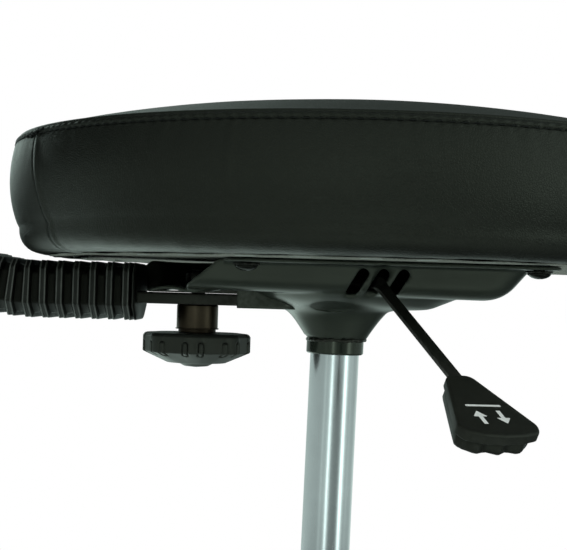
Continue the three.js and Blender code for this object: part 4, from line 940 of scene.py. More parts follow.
class STOOL_OT_seat(StoolOperator, bpy.types.Operator):
    """Makes the seat's padded cover with its seams, topstitching and the knot at the band's join"""

    bl_idname = "stool.seat"
    bl_label = "Seat cushion"

    # Each back-stitch of the knot: where it starts and ends round the seam, with its levels there.
    crosses = (
        (-13, -0.6, -4, 1.8), (-12, 1.6, -3, -1.4), (-7, -1.6, 1, 2.1), (-5, 1.9, 2, -1.8),
        (-2, -1.2, 7, 2.3), (0, 2.3, 6, -1.4), (4, 0.6, 12, 2.4), (-1, -1.6, 2, -3.8),
    )

    def make(self):
        outline = seat_rings()

        def held(point):
            out = math.hypot(point.x, point.y) - SEAT.seam_radius
            seam = Vector((out, point.z - SEAT.seam_level)).length
            return 1.0 if point.z < SEAT.foot_level - mm(2) or seam < mm(5) else 0.0

        closed = [(0, SEAT.seam_level + SEAT.crown), *[ring[:2] for ring in outline], (0, SEAT.floor)]
        rings, stitches = seat_surface(Swelling(lathe(closed, 160), held), outline)
        count = len(rings[0])
        top = sum((p.z for p in rings[0]), 0.0) / count + mm(0.02)
        inside = SEAT.floor + SEAT.cover
        for radius, z in ((SEAT.lip_radius, inside), (SEAT.board_radius, inside),
                          (SEAT.board_radius, SEAT.board_top), (SEAT.board_radius / 2, SEAT.board_top)):
            rings.append([polar(radius, turn, z) for turn in turns(count)])
        verts, faces = loft(rings, ends=False)
        verts += [Vector((0, 0, top)), Vector((0, 0, SEAT.board_top))]
        last = (len(rings) - 1) * count
        for k in range(count):
            side = (k + 1) % count
            faces += [(len(verts) - 2, side, k), (len(verts) - 1, last + k, last + side)]
        cushion = piece("seat_cushion", (verts, faces), SEAT_PLACE, "seat_frame", "vinyl",
                        ("seat_cover", "seat_foam"), 60)
        drops = [drop for _, _, drop in outline]
        line = next(r for r, drop in enumerate(drops) if abs(drop - sizes().stitch_drop) < 1e-6)
        self.thread("seat_topstitch", self.stitches(rings[line], stitches))
        self.thread("seat_join_knot", self.knot(rings[line]))
        self.thread("seat_join_line", [self.join_line(rings, drops)])

    def thread(self, name, shapes):
        piece(name, merged(shapes), SEAT_PLACE, "seat_frame", "thread")

    def stitches(self, ring, count):
        """The dark topstitch below the seam."""
        for s in range(count):
            points = []
            for k, sink in enumerate((0.10, 0.42, 0.5, 0.42, 0.10)):
                here = ring[(s * STITCH_SEGMENTS + k) % len(ring)]
                points.append(stood_out(here, mm(sink), mm((k - 2) * 0.05)))
            yield tube(points, sizes().thread / 2)

    def knot(self, ring):
        """The crossed back-stitches where the band's two ends meet."""
        middle = round(join_turn(0) / (2 * math.pi) * len(ring))
        for start, low, end, high in self.crosses:
            points = []
            for share in spread(0, 1, 6):
                here = ring[(middle + round(lerp(start, end, share))) % len(ring)]
                points.append(stood_out(here, mm(0.7 + 0.45 * math.sin(math.pi * share)),
                                        mm(lerp(low, high, share))))
            yield tube(points, sizes().thread * 0.72)

    def join_line(self, rings, drops):
        """The dark line of the side band's join."""
        line = []
        for ring, drop in zip(rings, drops):
            if mm(3) < drop < SIDE_HEIGHT + mm(12):
                spot = join_turn(drop) / (2 * math.pi) * len(ring)
                line.append(ring[int(spot)].lerp(ring[int(spot) + 1], spot - int(spot)))
        return tube(line, mm(0.4))


class STOOL_OT_underside(StoolOperator, bpy.types.Operator):
    """Makes the non-woven sheet under the seat and the staples that hold it"""

    bl_idname = "stool.underside"
    bl_label = "Dust cover and staples"

    edge = mm(172)
    staple_radius = mm(159)
    staples = 34

    def height(self, radius, turn):
        """The sheet's underside: flat over the plate, then down over the turned-in vinyl."""
        over = smooth_step(mm(150), mm(165), radius)
        ripple = ripple_at(math.cos(turn) * 9, math.sin(turn) * 9, radius * 30)
        pull = 0.5 + 0.5 * math.cos(self.staples * turn)
        outer = smooth_step(mm(160), self.edge, radius)
        low = SEAT.floor - mm(0.7) - mm(0.35 * pull + 0.3 * ripple) * outer
        return lerp(SEAT.floor + mm(0.35), low, over) + mm(0.12) * ripple * (1 - over)

    def make(self):
        lower = []
        for radius in [*spread(mm(12), mm(140), 12), *spread(mm(146), self.edge, 9)]:
            ring = []
            for turn in turns(220):
                ragged = 1 + 0.006 * ripple_at(math.cos(turn) * 6, math.sin(turn) * 6, 2)
                reach = radius * (ragged if radius == self.edge else 1)
                ring.append(polar(reach, turn, self.height(radius, turn)))
            lower.append(ring)
        upper = [[point + Vector((0, 0, mm(0.5))) for point in ring] for ring in reversed(lower)]
        sheet = piece("dust_sheet", loft(lower + upper), SEAT_PLACE, "seat_frame", "sheet",
                      ("dust_cover",), 60)
        wires = [tube(self.staple(k), mm(0.42)) for k in range(self.staples)]
        piece("sheet_staples", merged(wires), SEAT_PLACE, "seat_frame", "zinc")
        dress_node("seat_board", "plywood")

    def staple(self, k):
        turn = 2 * math.pi * (k + 0.5) / self.staples + 0.05 * ripple_at(k * 3.1, 0)
        middle = polar(self.staple_radius, turn, self.height(self.staple_radius, turn) - mm(0.15))
        lean = turn + 0.12 * math.sin(k * 2.3)
        side = Vector((-math.sin(lean), math.cos(lean), 0)) * mm(5)
        leg = Vector((0, 0, mm(2.2)))
        return [middle - side + leg, middle - side, middle, middle + side, middle + side + leg]


# The pressed plate under the seat.


def floor_fall(x):
    return PLATE.fall * x / PLATE.foot_front


def pan_shape(inset_by, rear, foot, top):
    """The pan under the seat: sloping walls with a folded foot."""
    def plan(front, half, fold=0.0):
        return rounded_rectangle(rear + fold, front - inset_by, -half + inset_by, half - inset_by,
                                 PLATE.corner - inset_by, 12)

    rise = 0.75 * PLATE.fold / (PLATE.top - PLATE.bottom)
    ends = [(low - PLATE.fold, low, lerp(low, high, rise))
            for low, high in ((PLATE.foot_front, PLATE.top_front), (PLATE.foot_half, PLATE.top_half))]
    ends.append((foot, foot, foot + 0.75 * PLATE.fold))
    rings = []
    for t in spread(0, 1, 8):
        front, half, z = ((1 - t) ** 2 * a + 2 * t * (1 - t) * b + t * t * c for a, b, c in ends)
        ring = plan(front, half, (1 - t) * PLATE.fold)
        rings.append([Vector((x, y, z - floor_fall(x))) for x, y in ring])
    rings.append(level(plan(PLATE.top_front, PLATE.top_half), top))
    return loft(rings)


def funnel(inset_by, foot, top=()):
    """A body round the column, fuller towards the front, from a foot through the skin to a top."""
    columns = []
    for turn in turns(96):
        front, near = max(math.cos(turn), 0), max(-math.sin(turn), 0)
        swell = max(front ** 2, 0.12 * near ** 4)
        corners = [(mm(lerp(radius, front_radius, swell)) - inset_by,
                    mm(lerp(z, front_z, swell)) + inset_by * share)
                   for radius, z, front_radius, front_z, share in FUNNEL]
        skin = catmull(corners, 5)
        last = [(skin[-1][0], z) for z in top]
        columns.append([polar(r, turn, z) for r, z in [foot, *skin, *last]])
    return loft(list(zip(*columns)))


def tongue_edge(x):
    """How far out the tongue's upturned far edge stands."""
    return lerp(mm(38), mm(60.5), smooth_step(mm(-109), mm(-80), x))


def tongue_shape():
    """The wavy sheet that runs back under the bar's clamp."""
    rings = []
    for x in spread(PLATE.tongue_end, PLATE.tongue_root, 36):
        wave = math.cos(2 * math.pi * ((x - PLATE.tongue_end) / PLATE.wave))
        middle = PLATE.tongue_level - PLATE.swell * wave
        share = (x - PLATE.tongue_end) / (PLATE.tongue_root - PLATE.tongue_end)
        wider = smooth_step(0, 1, share) * share ** 0.3
        half = lerp(PLATE.tongue_half, PLATE.foot_half - PLATE.fold, wider)
        half -= mm(4) * (1 - smooth_step(0, 0.14, share)) ** 2
        low, high = middle - PLATE.sheet / 2, middle + PLATE.sheet / 2
        far = max(half, tongue_edge(x) + mm(0.5))
        rings.append(upright(x, ((far, low), (far, high), (-half, high), (-half, low))))
    return loft(rings)


def tongue_wall():
    """The tongue's far edge, turned up and led into the pan's far wall."""
    rings = []
    ear = PLATE.tongue_end - mm(9)
    foot = PLATE.tongue_level - PLATE.sheet / 2
    for x in spread(ear, mm(-60), 36):
        top = lerp(mm(13.5), PLATE.top - mm(0.2), smooth_step(ear, ear + mm(5), x))
        out = tongue_edge(x)
        over = out + mm(3)
        rings.append(upright(x, ((out - PLATE.sheet, foot), (out, foot), (over, top),
                                 (over - PLATE.sheet, top))))
    return loft(rings)


def slot_shape(k):
    radius = PLATE.slot_width / 2
    half = PLATE.slot_length / 2 - radius
    outline = []
    for end, start in ((half, 0), (-half, math.pi)):
        for a in spread(start, start + math.pi, 12):
            outline.append((radius * math.cos(a), end + radius * math.sin(a)))
    shape = across(outline, -PLATE.top_half - mm(2), -PLATE.foot_half + PLATE.sheet + mm(4))
    place = shift(PLATE.slot_first + PLATE.slot_pitch * k, 0, PLATE.slot_level)
    return moved(shape, place @ spin(math.pi / 2 - PLATE.slot_lean, "Y"))


def hole_tool(radius):
    return plug(radius, mm(-6), mm(24), 24)


class STOOL_OT_plate(StoolOperator, bpy.types.Operator):
    """Makes the stamped seat plate with its funnel, slots and tongue, the bar's strap and the weld"""

    bl_idname = "stool.plate"
    bl_label = "Seat plate"

    strap_sheet = mm(1)
    strap_half = BAR.width / 2 + GAP + strap_sheet
    strap_foot = BAR_FOOT - GAP - strap_sheet
    neck_bore = mm(16.9)
    screw_bore = mm(3.6)

    def make(self):
        over, wide = PLATE.top + mm(2), PLATE.top_half + mm(2)
        plate = as_object("pressed_plate", pan_shape(0, PLATE.rear - PLATE.corner, PLATE.bottom, PLATE.top))
        flange = rounded_rectangle(PLATE.flange_rear, PLATE.flange_front, -PLATE.flange_half,
                                   PLATE.flange_half, PLATE.corner, 12)
        join(plate, slab(flange, PLATE.top - PLATE.sheet, PLATE.top))
        cut(plate, pan_shape(PLATE.sheet, PLATE.rear - 2 * PLATE.corner, PLATE.bottom + PLATE.sheet, over))
        far, under = PLATE.rear - PLATE.corner - mm(6), PLATE.bottom - mm(3)
        wedge = [
            (PLATE.rear_top - (PLATE.rear_top - PLATE.flange_rear), over),
            (PLATE.rear_foot, PLATE.bottom + PLATE.sheet - floor_fall(PLATE.rear)),
            (PLATE.rear_foot - mm(2), under), (far, under), (far, over),
        ]
        cut(plate, across(wedge, -wide, wide))
        join(plate, funnel(0, (NECK_RADIUS - mm(1.2), NECK_LEVEL - mm(0.8))))
        hollow_radius = NECK_RADIUS - PLATE.sheet
        cut(plate, funnel(PLATE.sheet, (hollow_radius, NECK_LEVEL - mm(4)), (PLATE.top,)))
        join(plate, tongue_shape())
        join(plate, tongue_wall())
        half = self.strap_half + GAP
        bar_way = rounded_rectangle(PLATE.tongue_end - mm(3), BAR.front + SLIDE, -half, half, mm(1), 2)
        cut(plate, slab(bar_way, self.strap_foot - GAP, PLATE.bottom - GAP))
        cut(plate, plug(self.neck_bore, mm(-40), PLATE.top, 64), spin(SEAT_TILT, "Y"))
        for k in range(3):
            cut(plate, slot_shape(k))
        for x, y in SCREWS:
            cut(plate, hole_tool(self.screw_bore), shift(x, y))
        cut(plate, hole_tool(CLAMP.hole), shift(CLAMP.x))
        voxel_skin(plate, sizes().plate_voxel, 8)
        self.press_dimple(plate)
        deliver(plate, HEAD, "seat_frame", "plate", ("seat_plate",), 50)
        self.weld_bead()
        self.strap()
        self.liner()

    def press_dimple(self, plate):
        """The shallow oval pressed into the funnel's front."""
        (x, z), (half, rise) = PLATE.dimple, PLATE.dimple_size
        for v in plate.data.vertices:
            share = ((v.co.x - x) / half) ** 2 + ((v.co.z - z) / rise) ** 2
            if mm(-56) < v.co.y < mm(-18) and share < 1:
                v.co.y += PLATE.dimple_depth * (1 - share) ** 0.55

    def weld_bead(self):
        """The uneven weld between the funnel's neck and the socket."""
        rings = []
        for turn in turns(150):
            away = polar(1, turn)
            lump = 1 + 0.35 * noise.noise(away * 5) + 0.12 * math.sin(turn * 31 + 2 * math.sin(turn * 5))
            sag = mm(0.6) * noise.noise(away * 2.5)
            centre = away * mm(16.4) + Vector((0, 0, NECK_LEVEL - mm(0.6) + sag))
            rings.append([centre + (away * math.cos(a) + Vector((0, 0, math.sin(a)))) * mm(1.05) * lump
                          for a in turns(12)])
        piece("collar_weld", loft(rings, loop=True), HEAD, "seat_frame", "weld")

    def strap(self):
        """The thin trough that holds the bar's end."""
        foot, inner_foot = self.strap_foot, self.strap_foot + self.strap_sheet
        rings = []
        for x, draw_in in mm([(-57, 0.7), (-56.2, 0), (-31, 0), (-26, 3.5), (-22, 9)]):
            half = self.strap_half - draw_in
            inner, top = half - self.strap_sheet, PLATE.bottom - floor_fall(x) - mm(0.1)
            under = eased([(-half, top), (-half, foot), (half, foot), (half, top)], mm(2.4), 5, False)
            section = [*under, (inner, top), (inner, inner_foot), (-inner, inner_foot), (-inner, top)]
            rings.append(upright(x, section))
        piece("bar_strap", loft(rings), HEAD, "seat_frame", "plate", ("bar_channel",))

    def liner(self):
        """The plastic strip that the bar slides under."""
        half, low = mm(24), mm(-2)
        rings = []
        for x, high in mm([(-106.5, -1.1), (-72, -1.0), (-66, 0.05), (-36, -0.35)]):
            rings.append(upright(x, ((-half, low), (half, low), (half, high), (-half, high))))
        liner = as_object("slide_liner", loft(rings))
        cut(liner, hole_tool(CLAMP.hole), shift(CLAMP.x))
        deliver(liner, HEAD, "seat_frame", "shell")


class STOOL_OT_screws(StoolOperator, bpy.types.Operator):
    """Makes the four flange screws that hold the plate to the board"""

    bl_idname = "stool.screws"
    bl_label = "Plate screws"

    def make(self):
        seat_z = PLATE.top - PLATE.sheet - GAP
        head_top, tip = seat_z - mm(1.2), seat_z + mm(11.8)
        low = head_top - mm(3.2)
        dome = [(mm(6.2) * math.sin(a), head_top - mm(3.2) * math.cos(a))
                for a in spread(0, math.pi / 2, 9)]
        flange = [dome[-1], (mm(7.2), head_top), (mm(7.2), seat_z), (mm(3), seat_z), (mm(3), tip - mm(0.8)),
                  (mm(2.2), tip)]
        profile = [*dome[:-1], *eased(flange, mm(0.3), 3, False), (0, tip)]
        blade = slab(rounded_rectangle(*mm((-2.4, 2.4, -0.5, 0.5, 0.2)), 2), low - mm(1), low + mm(1.7))
        for k, (x, y) in enumerate(SCREWS):
            screw = as_object(f"flange_screw_{k + 1}", lathe(profile, 48))
            for cross in (0, math.pi / 2):
                cut(screw, blade, spin(0.6 + 1.1 * k, "Z") @ spin(cross, "Z"))
            deliver(screw, HEAD @ shift(x, y), "seat_frame", "screw",
                    (f"plate_screw_{k + 1}",))


class STOOL_OT_lift(StoolOperator, bpy.types.Operator):
    """Makes the gas lift: tube, socket, column, bush, rod and button"""

    bl_idname = "stool.lift"
    bl_label = "Gas lift"

    def turned(self, name, points, soft, body, look, slot, stands_for):
        shape = lathe(eased(points, mm(soft), 4), 128, True)
        piece(name, shape, LIFT, body, look, (stands_for,), 30)

    def make(self):
        top = DATUM.z + SOCKET_RISE
        bore, inner = TUBE_RADIUS - mm(2), TUBE_RADIUS + GAP
        self.turned("lift_tube", [
            (bore, TUBE_LOW.z), (TUBE_RADIUS, TUBE_LOW.z), (TUBE_RADIUS, top - mm(3)),
            (TUBE_RADIUS - mm(3), top), (mm(4.5), top), (mm(4.5), top - mm(16)), (bore, top - mm(19)),
        ], 0.6, "seat_frame", "chrome", "chrome", "gas_tube")
        low = DATUM.z - mm(35)
        self.turned("lift_socket", [
            (inner, low), (mm(15.6), low), (mm(16.4), low + mm(0.8)), (mm(16.6), DATUM.z),
            (mm(16.6), top - mm(0.8)), (mm(15.8), top), (inner, top),
        ], 0.5, "seat_frame", "collar", "black_steel", "taper_socket")
        foot, rim = COLUMN_LOW.z, COLUMN_HIGH.z
        hub = foot + mm(62)
        self.turned("lift_column", [
            (mm(5.3), foot), (mm(23.4), foot), (COLUMN_RADIUS, hub), (COLUMN_RADIUS, rim - mm(1.2)),
            (COLUMN_RADIUS - mm(1.2), rim), (COLUMN_RADIUS - mm(2), rim), (COLUMN_RADIUS - mm(2), hub),
            (mm(21.4), foot + mm(4)), (mm(5.3), foot + mm(4)),
        ], 0.9, "base", "chrome", "chrome", "column_tube")
        outer, head, shoulder = COLUMN_RADIUS - mm(2.3), BUSH_HIGH.z, rim + GAP
        self.turned("lift_bush", [
            (inner, head - mm(0.3)), (inner, BUSH_LOW.z), (outer, BUSH_LOW.z), (outer, shoulder),
            (COLUMN_RADIUS, shoulder), (COLUMN_RADIUS, head - mm(1.5)), (COLUMN_RADIUS - mm(1.5), head),
            (inner + mm(0.3), head),
        ], 0.7, "base", "knob", "black_plastic", "guide_bush")
        for name, look in (("thrust_bearing", "zinc"), ("rod_clip", "zinc"), ("piston_rod", "chrome"),
                           ("rod_guide", "knob"), ("valve_button", "zinc")):
            dress_node(name, look)


# The valve lever.


def lever_gate():
    """Where the strip passes the middle slot, and the side that it lies along there."""
    z = PLATE.slot_level + LEVER.gate_rise * math.sin(PLATE.slot_lean)
    x = PLATE.slot_first + PLATE.slot_pitch + LEVER.gate_rise * math.cos(PLATE.slot_lean)
    slope = (PLATE.top_half - PLATE.foot_half) / (PLATE.top - PLATE.bottom)
    y = -PLATE.foot_half - slope * (z - PLATE.bottom) + PLATE.sheet / 2
    return Vector((x, y, z)), Vector((math.cos(PLATE.slot_lean), 0, math.sin(PLATE.slot_lean)))


def lever_heading():
    """The way that the outer arm runs, and the side that it lies along."""
    lead, fall = LEVER.lead, LEVER.fall
    along = Vector((math.cos(lead) * math.cos(fall), -math.sin(lead) * math.cos(fall), -math.sin(fall)))
    return along, Vector((math.sin(lead), math.cos(lead), 0))


def lever_line():
    """The strip's middle line with the side that it lies along, and the arm's end."""
    gate, gate_side = lever_gate()
    along, side = lever_heading()
    button = Vector((0, 0, LEVER.over_button + LEVER.thickness))
    inner = (button - gate).normalized()
    flat = -Vector((-inner.y, inner.x, 0)).normalized()
    elbow = gate + Vector((0, -LEVER.neck, 0))
    knee = elbow + Vector((0, -LEVER.elbow / 3, 0))
    out = knee + along * LEVER.elbow
    line = [(button + inner * LEVER.tail, flat), (button - inner * LEVER.tail, flat)]
    start, end = line[-1][0], gate + Vector((0, LEVER.gate_run, 0))
    for share in spread(0, 1, 12)[1:]:
        line.append((start.lerp(end, share), flat.lerp(gate_side, smooth_step(0, 1, share))))
    line.append((elbow, gate_side))
    for t in spread(0, 1, 16)[1:]:
        s = 1 - t
        point = (elbow * s ** 3 + knee * 3 * s * s * t
                 + (knee + along * LEVER.elbow / 3) * 3 * s * t * t + out * t ** 3)
        line.append((point, gate_side.lerp(side, smooth_step(0, 1, t))))
    end = out + along * LEVER.arm
    return [*line, (end - along * LEVER.arm / 2, side), (end, side)], end


def paddle_outline(inset_by, finger):
    """The paddle from above, with finger waves round its bowed tip if wanted."""
    half, tip = PADDLE.tip_half, PADDLE.length
    side = [(half, tip - mm(9)), (half - mm(2), tip - mm(3.4)), (half * 0.5, tip - mm(0.9))]
    corners = [(-PADDLE.neck_half, 0), (PADDLE.neck_half, 0), *side, (0, tip),
               *[(-x, y) for x, y in reversed(side)]]
    rounded = inset(eased(corners, mm(6), 8), inset_by)
    dense = []
    for k, point in enumerate(rounded):
        here, there = Vector(point), Vector(rounded[(k + 1) % len(rounded)])
        dense += [here.lerp(there, share / 4) for share in range(4)]
    out = []
    for k, point in enumerate(dense):
        along = dense[(k + 1) % len(dense)] - dense[k - 1]
        normal = Vector((-along.y, along.x)).normalized()
        turn = math.atan2(point.x, point.y - (tip - mm(26)))
        wave = 0.5 - 0.5 * math.cos(PADDLE.fingers * 2 * turn * 1.6)
        out.append(tuple(point + normal * finger * wave * smooth_step(tip - mm(20), tip - mm(9), point.y)))
    return out


def standing(axes, origin):
    """The placement at a point whose X, Y and Z look along the given axes."""
    matrix = Matrix(axes).transposed().to_4x4()
    matrix.translation = origin
    return matrix


class STOOL_OT_lever(StoolOperator, bpy.types.Operator):
    """Makes the valve lever's steel strip, its two-layer paddle and the printed arrows"""

    bl_idname = "stool.lever"
    bl_label = "Valve lever"

    # Each layer's rings in millimetres: drawn in, share of the finger waves, level from the parting.
    cap_rings = (
        (0.35, 0, 0.0), (0.0, 0, 0.35), (0.0, 0, 3.9), (0.25, 0, 4.6), (0.75, 0, 5.02), (1.5, 0, 5.2),
        (3.2, 0, 5.32),
    )
    grip_rings = (
        (2.6, 0.7, -7.0), (1.7, 0.9, -6.3), (1.25, 1.0, -5.2), (1.3, 1.0, -0.9), (1.6, 1.0, -0.45),
        (1.6, 0.9, 0.2),
    )

    def make(self):
        line, end = lever_line()
        square = [(-0.5, -0.5), (0.5, -0.5), (0.5, 0.5), (-0.5, 0.5)]
        rings = []
        for k, (point, side) in enumerate(line):
            before, after = line[max(k - 1, 0)][0], line[min(k + 1, len(line) - 1)][0]
            along = (after - before).normalized()
            flat_side = (side - along * side.dot(along)).normalized()
            face = along.cross(flat_side).normalized()
            rings.append([point + flat_side * a * LEVER.width + face * b * LEVER.thickness
                          for a, b in eased(square, 0.12, 3)])
        piece("lever_strip", loft(rings), HEAD, "valve_lever", "bar", ("lever",), 30)
        along, side = lever_heading()
        flat_side = -(Matrix.Rotation(-PADDLE.roll, 3, along) @ side).normalized()
        axes = (flat_side, along, flat_side.cross(along))
        self.paddle(HEAD @ standing(axes, end - along * PADDLE.socket))

    def layer(self, rings):
        parting = PADDLE.top - PADDLE.cap
        return loft([level(paddle_outline(mm(draw_in), PADDLE.finger * share), parting + mm(z))
                     for draw_in, share, z in rings])

    def paddle(self, place):
        body = as_object("lever_grip", self.layer(self.cap_rings))
        join(body, self.layer(self.grip_rings))
        half, rise = LEVER.width / 2 + GAP, LEVER.thickness / 2 + GAP
        hole = [(-half, mm(-2)), (half, mm(-2)), (half, PADDLE.socket), (-half, PADDLE.socket)]
        cut(body, slab(hole, -rise, rise))
        deliver(body, place, "valve_lever", "paddle", ("lever_paddle",), 40)
        marks = [self.mark(self.arrow(), -5.2, 34.8), self.mark(self.arrow(), 6.4, 36.2, math.pi),
                 self.mark(rounded_rectangle(*mm((-9, 10, 25.6, 27, 0.6)), 3))]
        piece("grip_arrows", merged(marks), place, "valve_lever", "ink")

    def mark(self, outline, x=0, y=0, turn=0):
        """An outline printed on the paddle."""
        top = PADDLE.top + mm(0.11)
        return moved(slab(outline, top, top + mm(0.05)), shift(mm(x), mm(y)) @ spin(turn, "Z"))

    def arrow(self):
        half = [(3.7, 1.2), (1.1, 1.2), (1.1, -4.6)]
        return eased(mm([(0, 5.6), *half, *[(-x, y) for x, y in reversed(half)]]), mm(0.3), 2)


# The bar and its boot.


def bar_station(distance):
    """A place on the bar's middle line, with the way its inner face looks."""
    along = distance - (BAR.front - BAR.elbow_start)
    angle = min(max(along, 0) / BAR.elbow_radius, math.pi / 2)
    place = Vector((BAR.front - distance, 0, BAR_MIDDLE))
    if along > 0:
        rest = along - angle * BAR.elbow_radius
        place.x = BAR.elbow_start - BAR.elbow_radius * math.sin(angle) - rest * math.cos(angle)
        place.z = BAR_MIDDLE + BAR.elbow_radius * (1 - math.cos(angle)) + rest * math.sin(angle)
    return place, Vector((math.sin(angle), 0, math.cos(angle)))


def bar_ring(distance, points):
    place, inward = bar_station(distance)
    return [place + Vector((0, side, 0)) + inward * height for side, height in points]


def bar_section(draw_in, radius):
    half, rise = BAR.width / 2 - draw_in, BAR.thickness / 2 - draw_in
    return eased([(half, -rise), (half, rise), (-half, rise), (-half, -rise)], radius, 4)


class STOOL_OT_bar(StoolOperator, bpy.types.Operator):
    """Makes the flat steel bar that carries the backrest"""

    bl_idname = "stool.bar"
    bl_label = "Flat bar"

    chamfer = mm(0.6)
    slot_radius = mm(4.4)
    slot_run = mm(15)

    def make(self):
        straight = BAR.front - BAR.elbow_start
        bend = BAR.elbow_radius * math.pi / 2
        end = straight + bend + BAR.upright
        full, small = bar_section(0, mm(1.1)), bar_section(self.chamfer, self.chamfer)
        stations = [self.chamfer, straight / 2, *[straight + bend * share for share in spread(0, 1, 40)],
                    straight + bend + BAR.upright / 2, end - self.chamfer]
        rings = [bar_ring(0, small), *[bar_ring(s, full) for s in stations], bar_ring(end, small)]
        bar = as_object("flat_bar", loft(rings))
        radius = self.slot_radius
        slot = rounded_rectangle(CLAMP.x - radius, CLAMP.x + self.slot_run + radius, -radius, radius,
                                 radius * 0.999, 12)
        cut(bar, slab(slot, BAR_FOOT - mm(2), BAR.top + mm(2)))
        deliver(bar, HEAD, "arm", "bar", ("j_bar",), 30)


class STOOL_OT_boot(StoolOperator, bpy.types.Operator):
    """Makes the ribbed rubber boot round the bar"""

    bl_idname = "stool.boot"
    bl_label = "Ribbed boot"

    # The rounded nose in millimetres: how far along, and how far drawn in.
    nose = mm([(0, 5.0), (0.2, 3.2), (0.55, 1.6), (1.0, 0.5), (1.5, 0.0)])

    def section(self, draw_in):
        side = [
            (BOOT.keel_half, BOOT.keel + draw_in), (BOOT.half - draw_in, BOOT.flank),
            (BOOT.half - draw_in, BOOT.shoulder - draw_in),
            (BOOT.shoulder_half - draw_in, BOOT.top - draw_in),
        ]
        corners = [*side[1:], *[(-y, z) for y, z in reversed(side)], side[0]]
        return eased([(y, z + BOOT.lift) for y, z in corners], mm(2.6), 4)

    def bore(self):
        half, rise = BAR.width / 2 + GAP, BAR.thickness / 2 + GAP
        flat = half - mm(3)
        corners = [(half, -rise), (half, rise), (flat, rise), (-flat, rise), (-half, rise), (-half, -rise),
                   (-flat, -rise), (flat, -rise)]
        return eased(corners, mm(0.6), 4)

    def rib(self, start):
        """One valley and the rib behind it, as places along the boot and how far each is drawn in."""
        land = start + BOOT.pitch - sizes().rib_land
        end = start + BOOT.pitch
        floor = BOOT.valley
        down = [(0, BOOT.rib_foot), (mm(0.35), mm(1.3)), (mm(0.9), floor - mm(0.35)), (mm(1.6), floor)]
        return [
            *[(start + run, draw_in) for run, draw_in in down],
            *[(land - run, draw_in) for run, draw_in in reversed(down)],
            (land + mm(0.2), 0.0), (land + BOOT.lip, 0.0), (land + BOOT.lip + mm(0.3), BOOT.land_sink),
            (end - BOOT.lip - mm(0.3), BOOT.land_sink), (end - BOOT.lip, 0.0), (end - mm(0.2), 0.0),
        ]

    def make(self):
        start = BAR.front - BOOT.start
        end = start + BOOT.cuff * 2 + BOOT.pitch * BOOT.ribs
        front = start + BOOT.nose_back
        outer = [(front + along, draw_in) for along, draw_in in self.nose]
        for k in range(BOOT.ribs):
            cell = self.rib(start + BOOT.cuff + BOOT.rib_shift + BOOT.pitch * k)
            outer += [(s, draw_in) for s, draw_in in cell if s > front + mm(2)]
        outer += [(end - along, draw_in) for along, draw_in in reversed(self.nose)]
        rings = [bar_ring(s, self.section(draw_in)) for s, draw_in in outer]
        bore, room = self.bore(), self.section(BOOT.valley + BOOT.wall)
        inner = [bar_ring(end, bore), bar_ring(end - BOOT.cuff, bore)]
        for share in spread(1, 0, 36):
            inner.append(bar_ring(lerp(front + BOOT.cuff * 2, end - BOOT.cuff * 2, share), room))
        inner += [bar_ring(front + BOOT.cuff, bore), bar_ring(front, bore)]
        # How proud each place stands: 0 in a valley, less than a half on a rib's land, 1 on its lips.
        # This share also sets the rubber's colour: painted shade in the valleys, a painted highlight on the
        # lips.
        wear_and_light = []
        for _, draw_in in outer:
            wear_and_light += [1.0 if draw_in == 0 else max(0.5 - draw_in / mm(2.4), 0)] * len(rings[0])
        wear_and_light += [0.0] * (len(inner) * len(bore))
        boot = as_object("ribbed_boot", loft([*rings, *inner], loop=True), HEAD, wear_and_light)
        deliver(boot, None, "arm", "rubber", ("bar_boot",), 28)


# The clamps.


def knob_profile(scale):
    """Closely spaced radius and level points down a knob, and the distance run at each."""
    names = ("knob", "rim", "cone", "cone_radius", "nub", "nub_radius")
    radius, rim, cone, cone_radius, nub, nub_radius = (getattr(CLAMP, name) * scale for name in names)
    dish = mm(1.5) * scale
    corners = [(0, 0), (radius - dish * 1.6, 0), (radius - dish * 0.7, -dish * 0.25), (radius, -dish * 1.2),
               (radius, -rim), (cone_radius, -rim - cone), (nub_radius * 1.25, -rim - cone * 1.08),
               (nub_radius * 0.85, -rim - cone - nub * 0.75), (0, -rim - cone - nub)]
    line = [Vector(point) for point in eased(corners, mm(1.1) * scale, 3, False)]
    profile, lengths = [], [0.0]
    for a, b in zip(line, line[1:]):
        steps = max(round((b - a).length / mm(0.42)), 1)
        profile += [tuple(a.lerp(b, k / steps)) for k in range(steps)]
    profile.append(tuple(line[-1]))
    for a, b in zip(profile, profile[1:]):
        lengths.append(lengths[-1] + (Vector(b) - Vector(a)).length)
    return profile, lengths


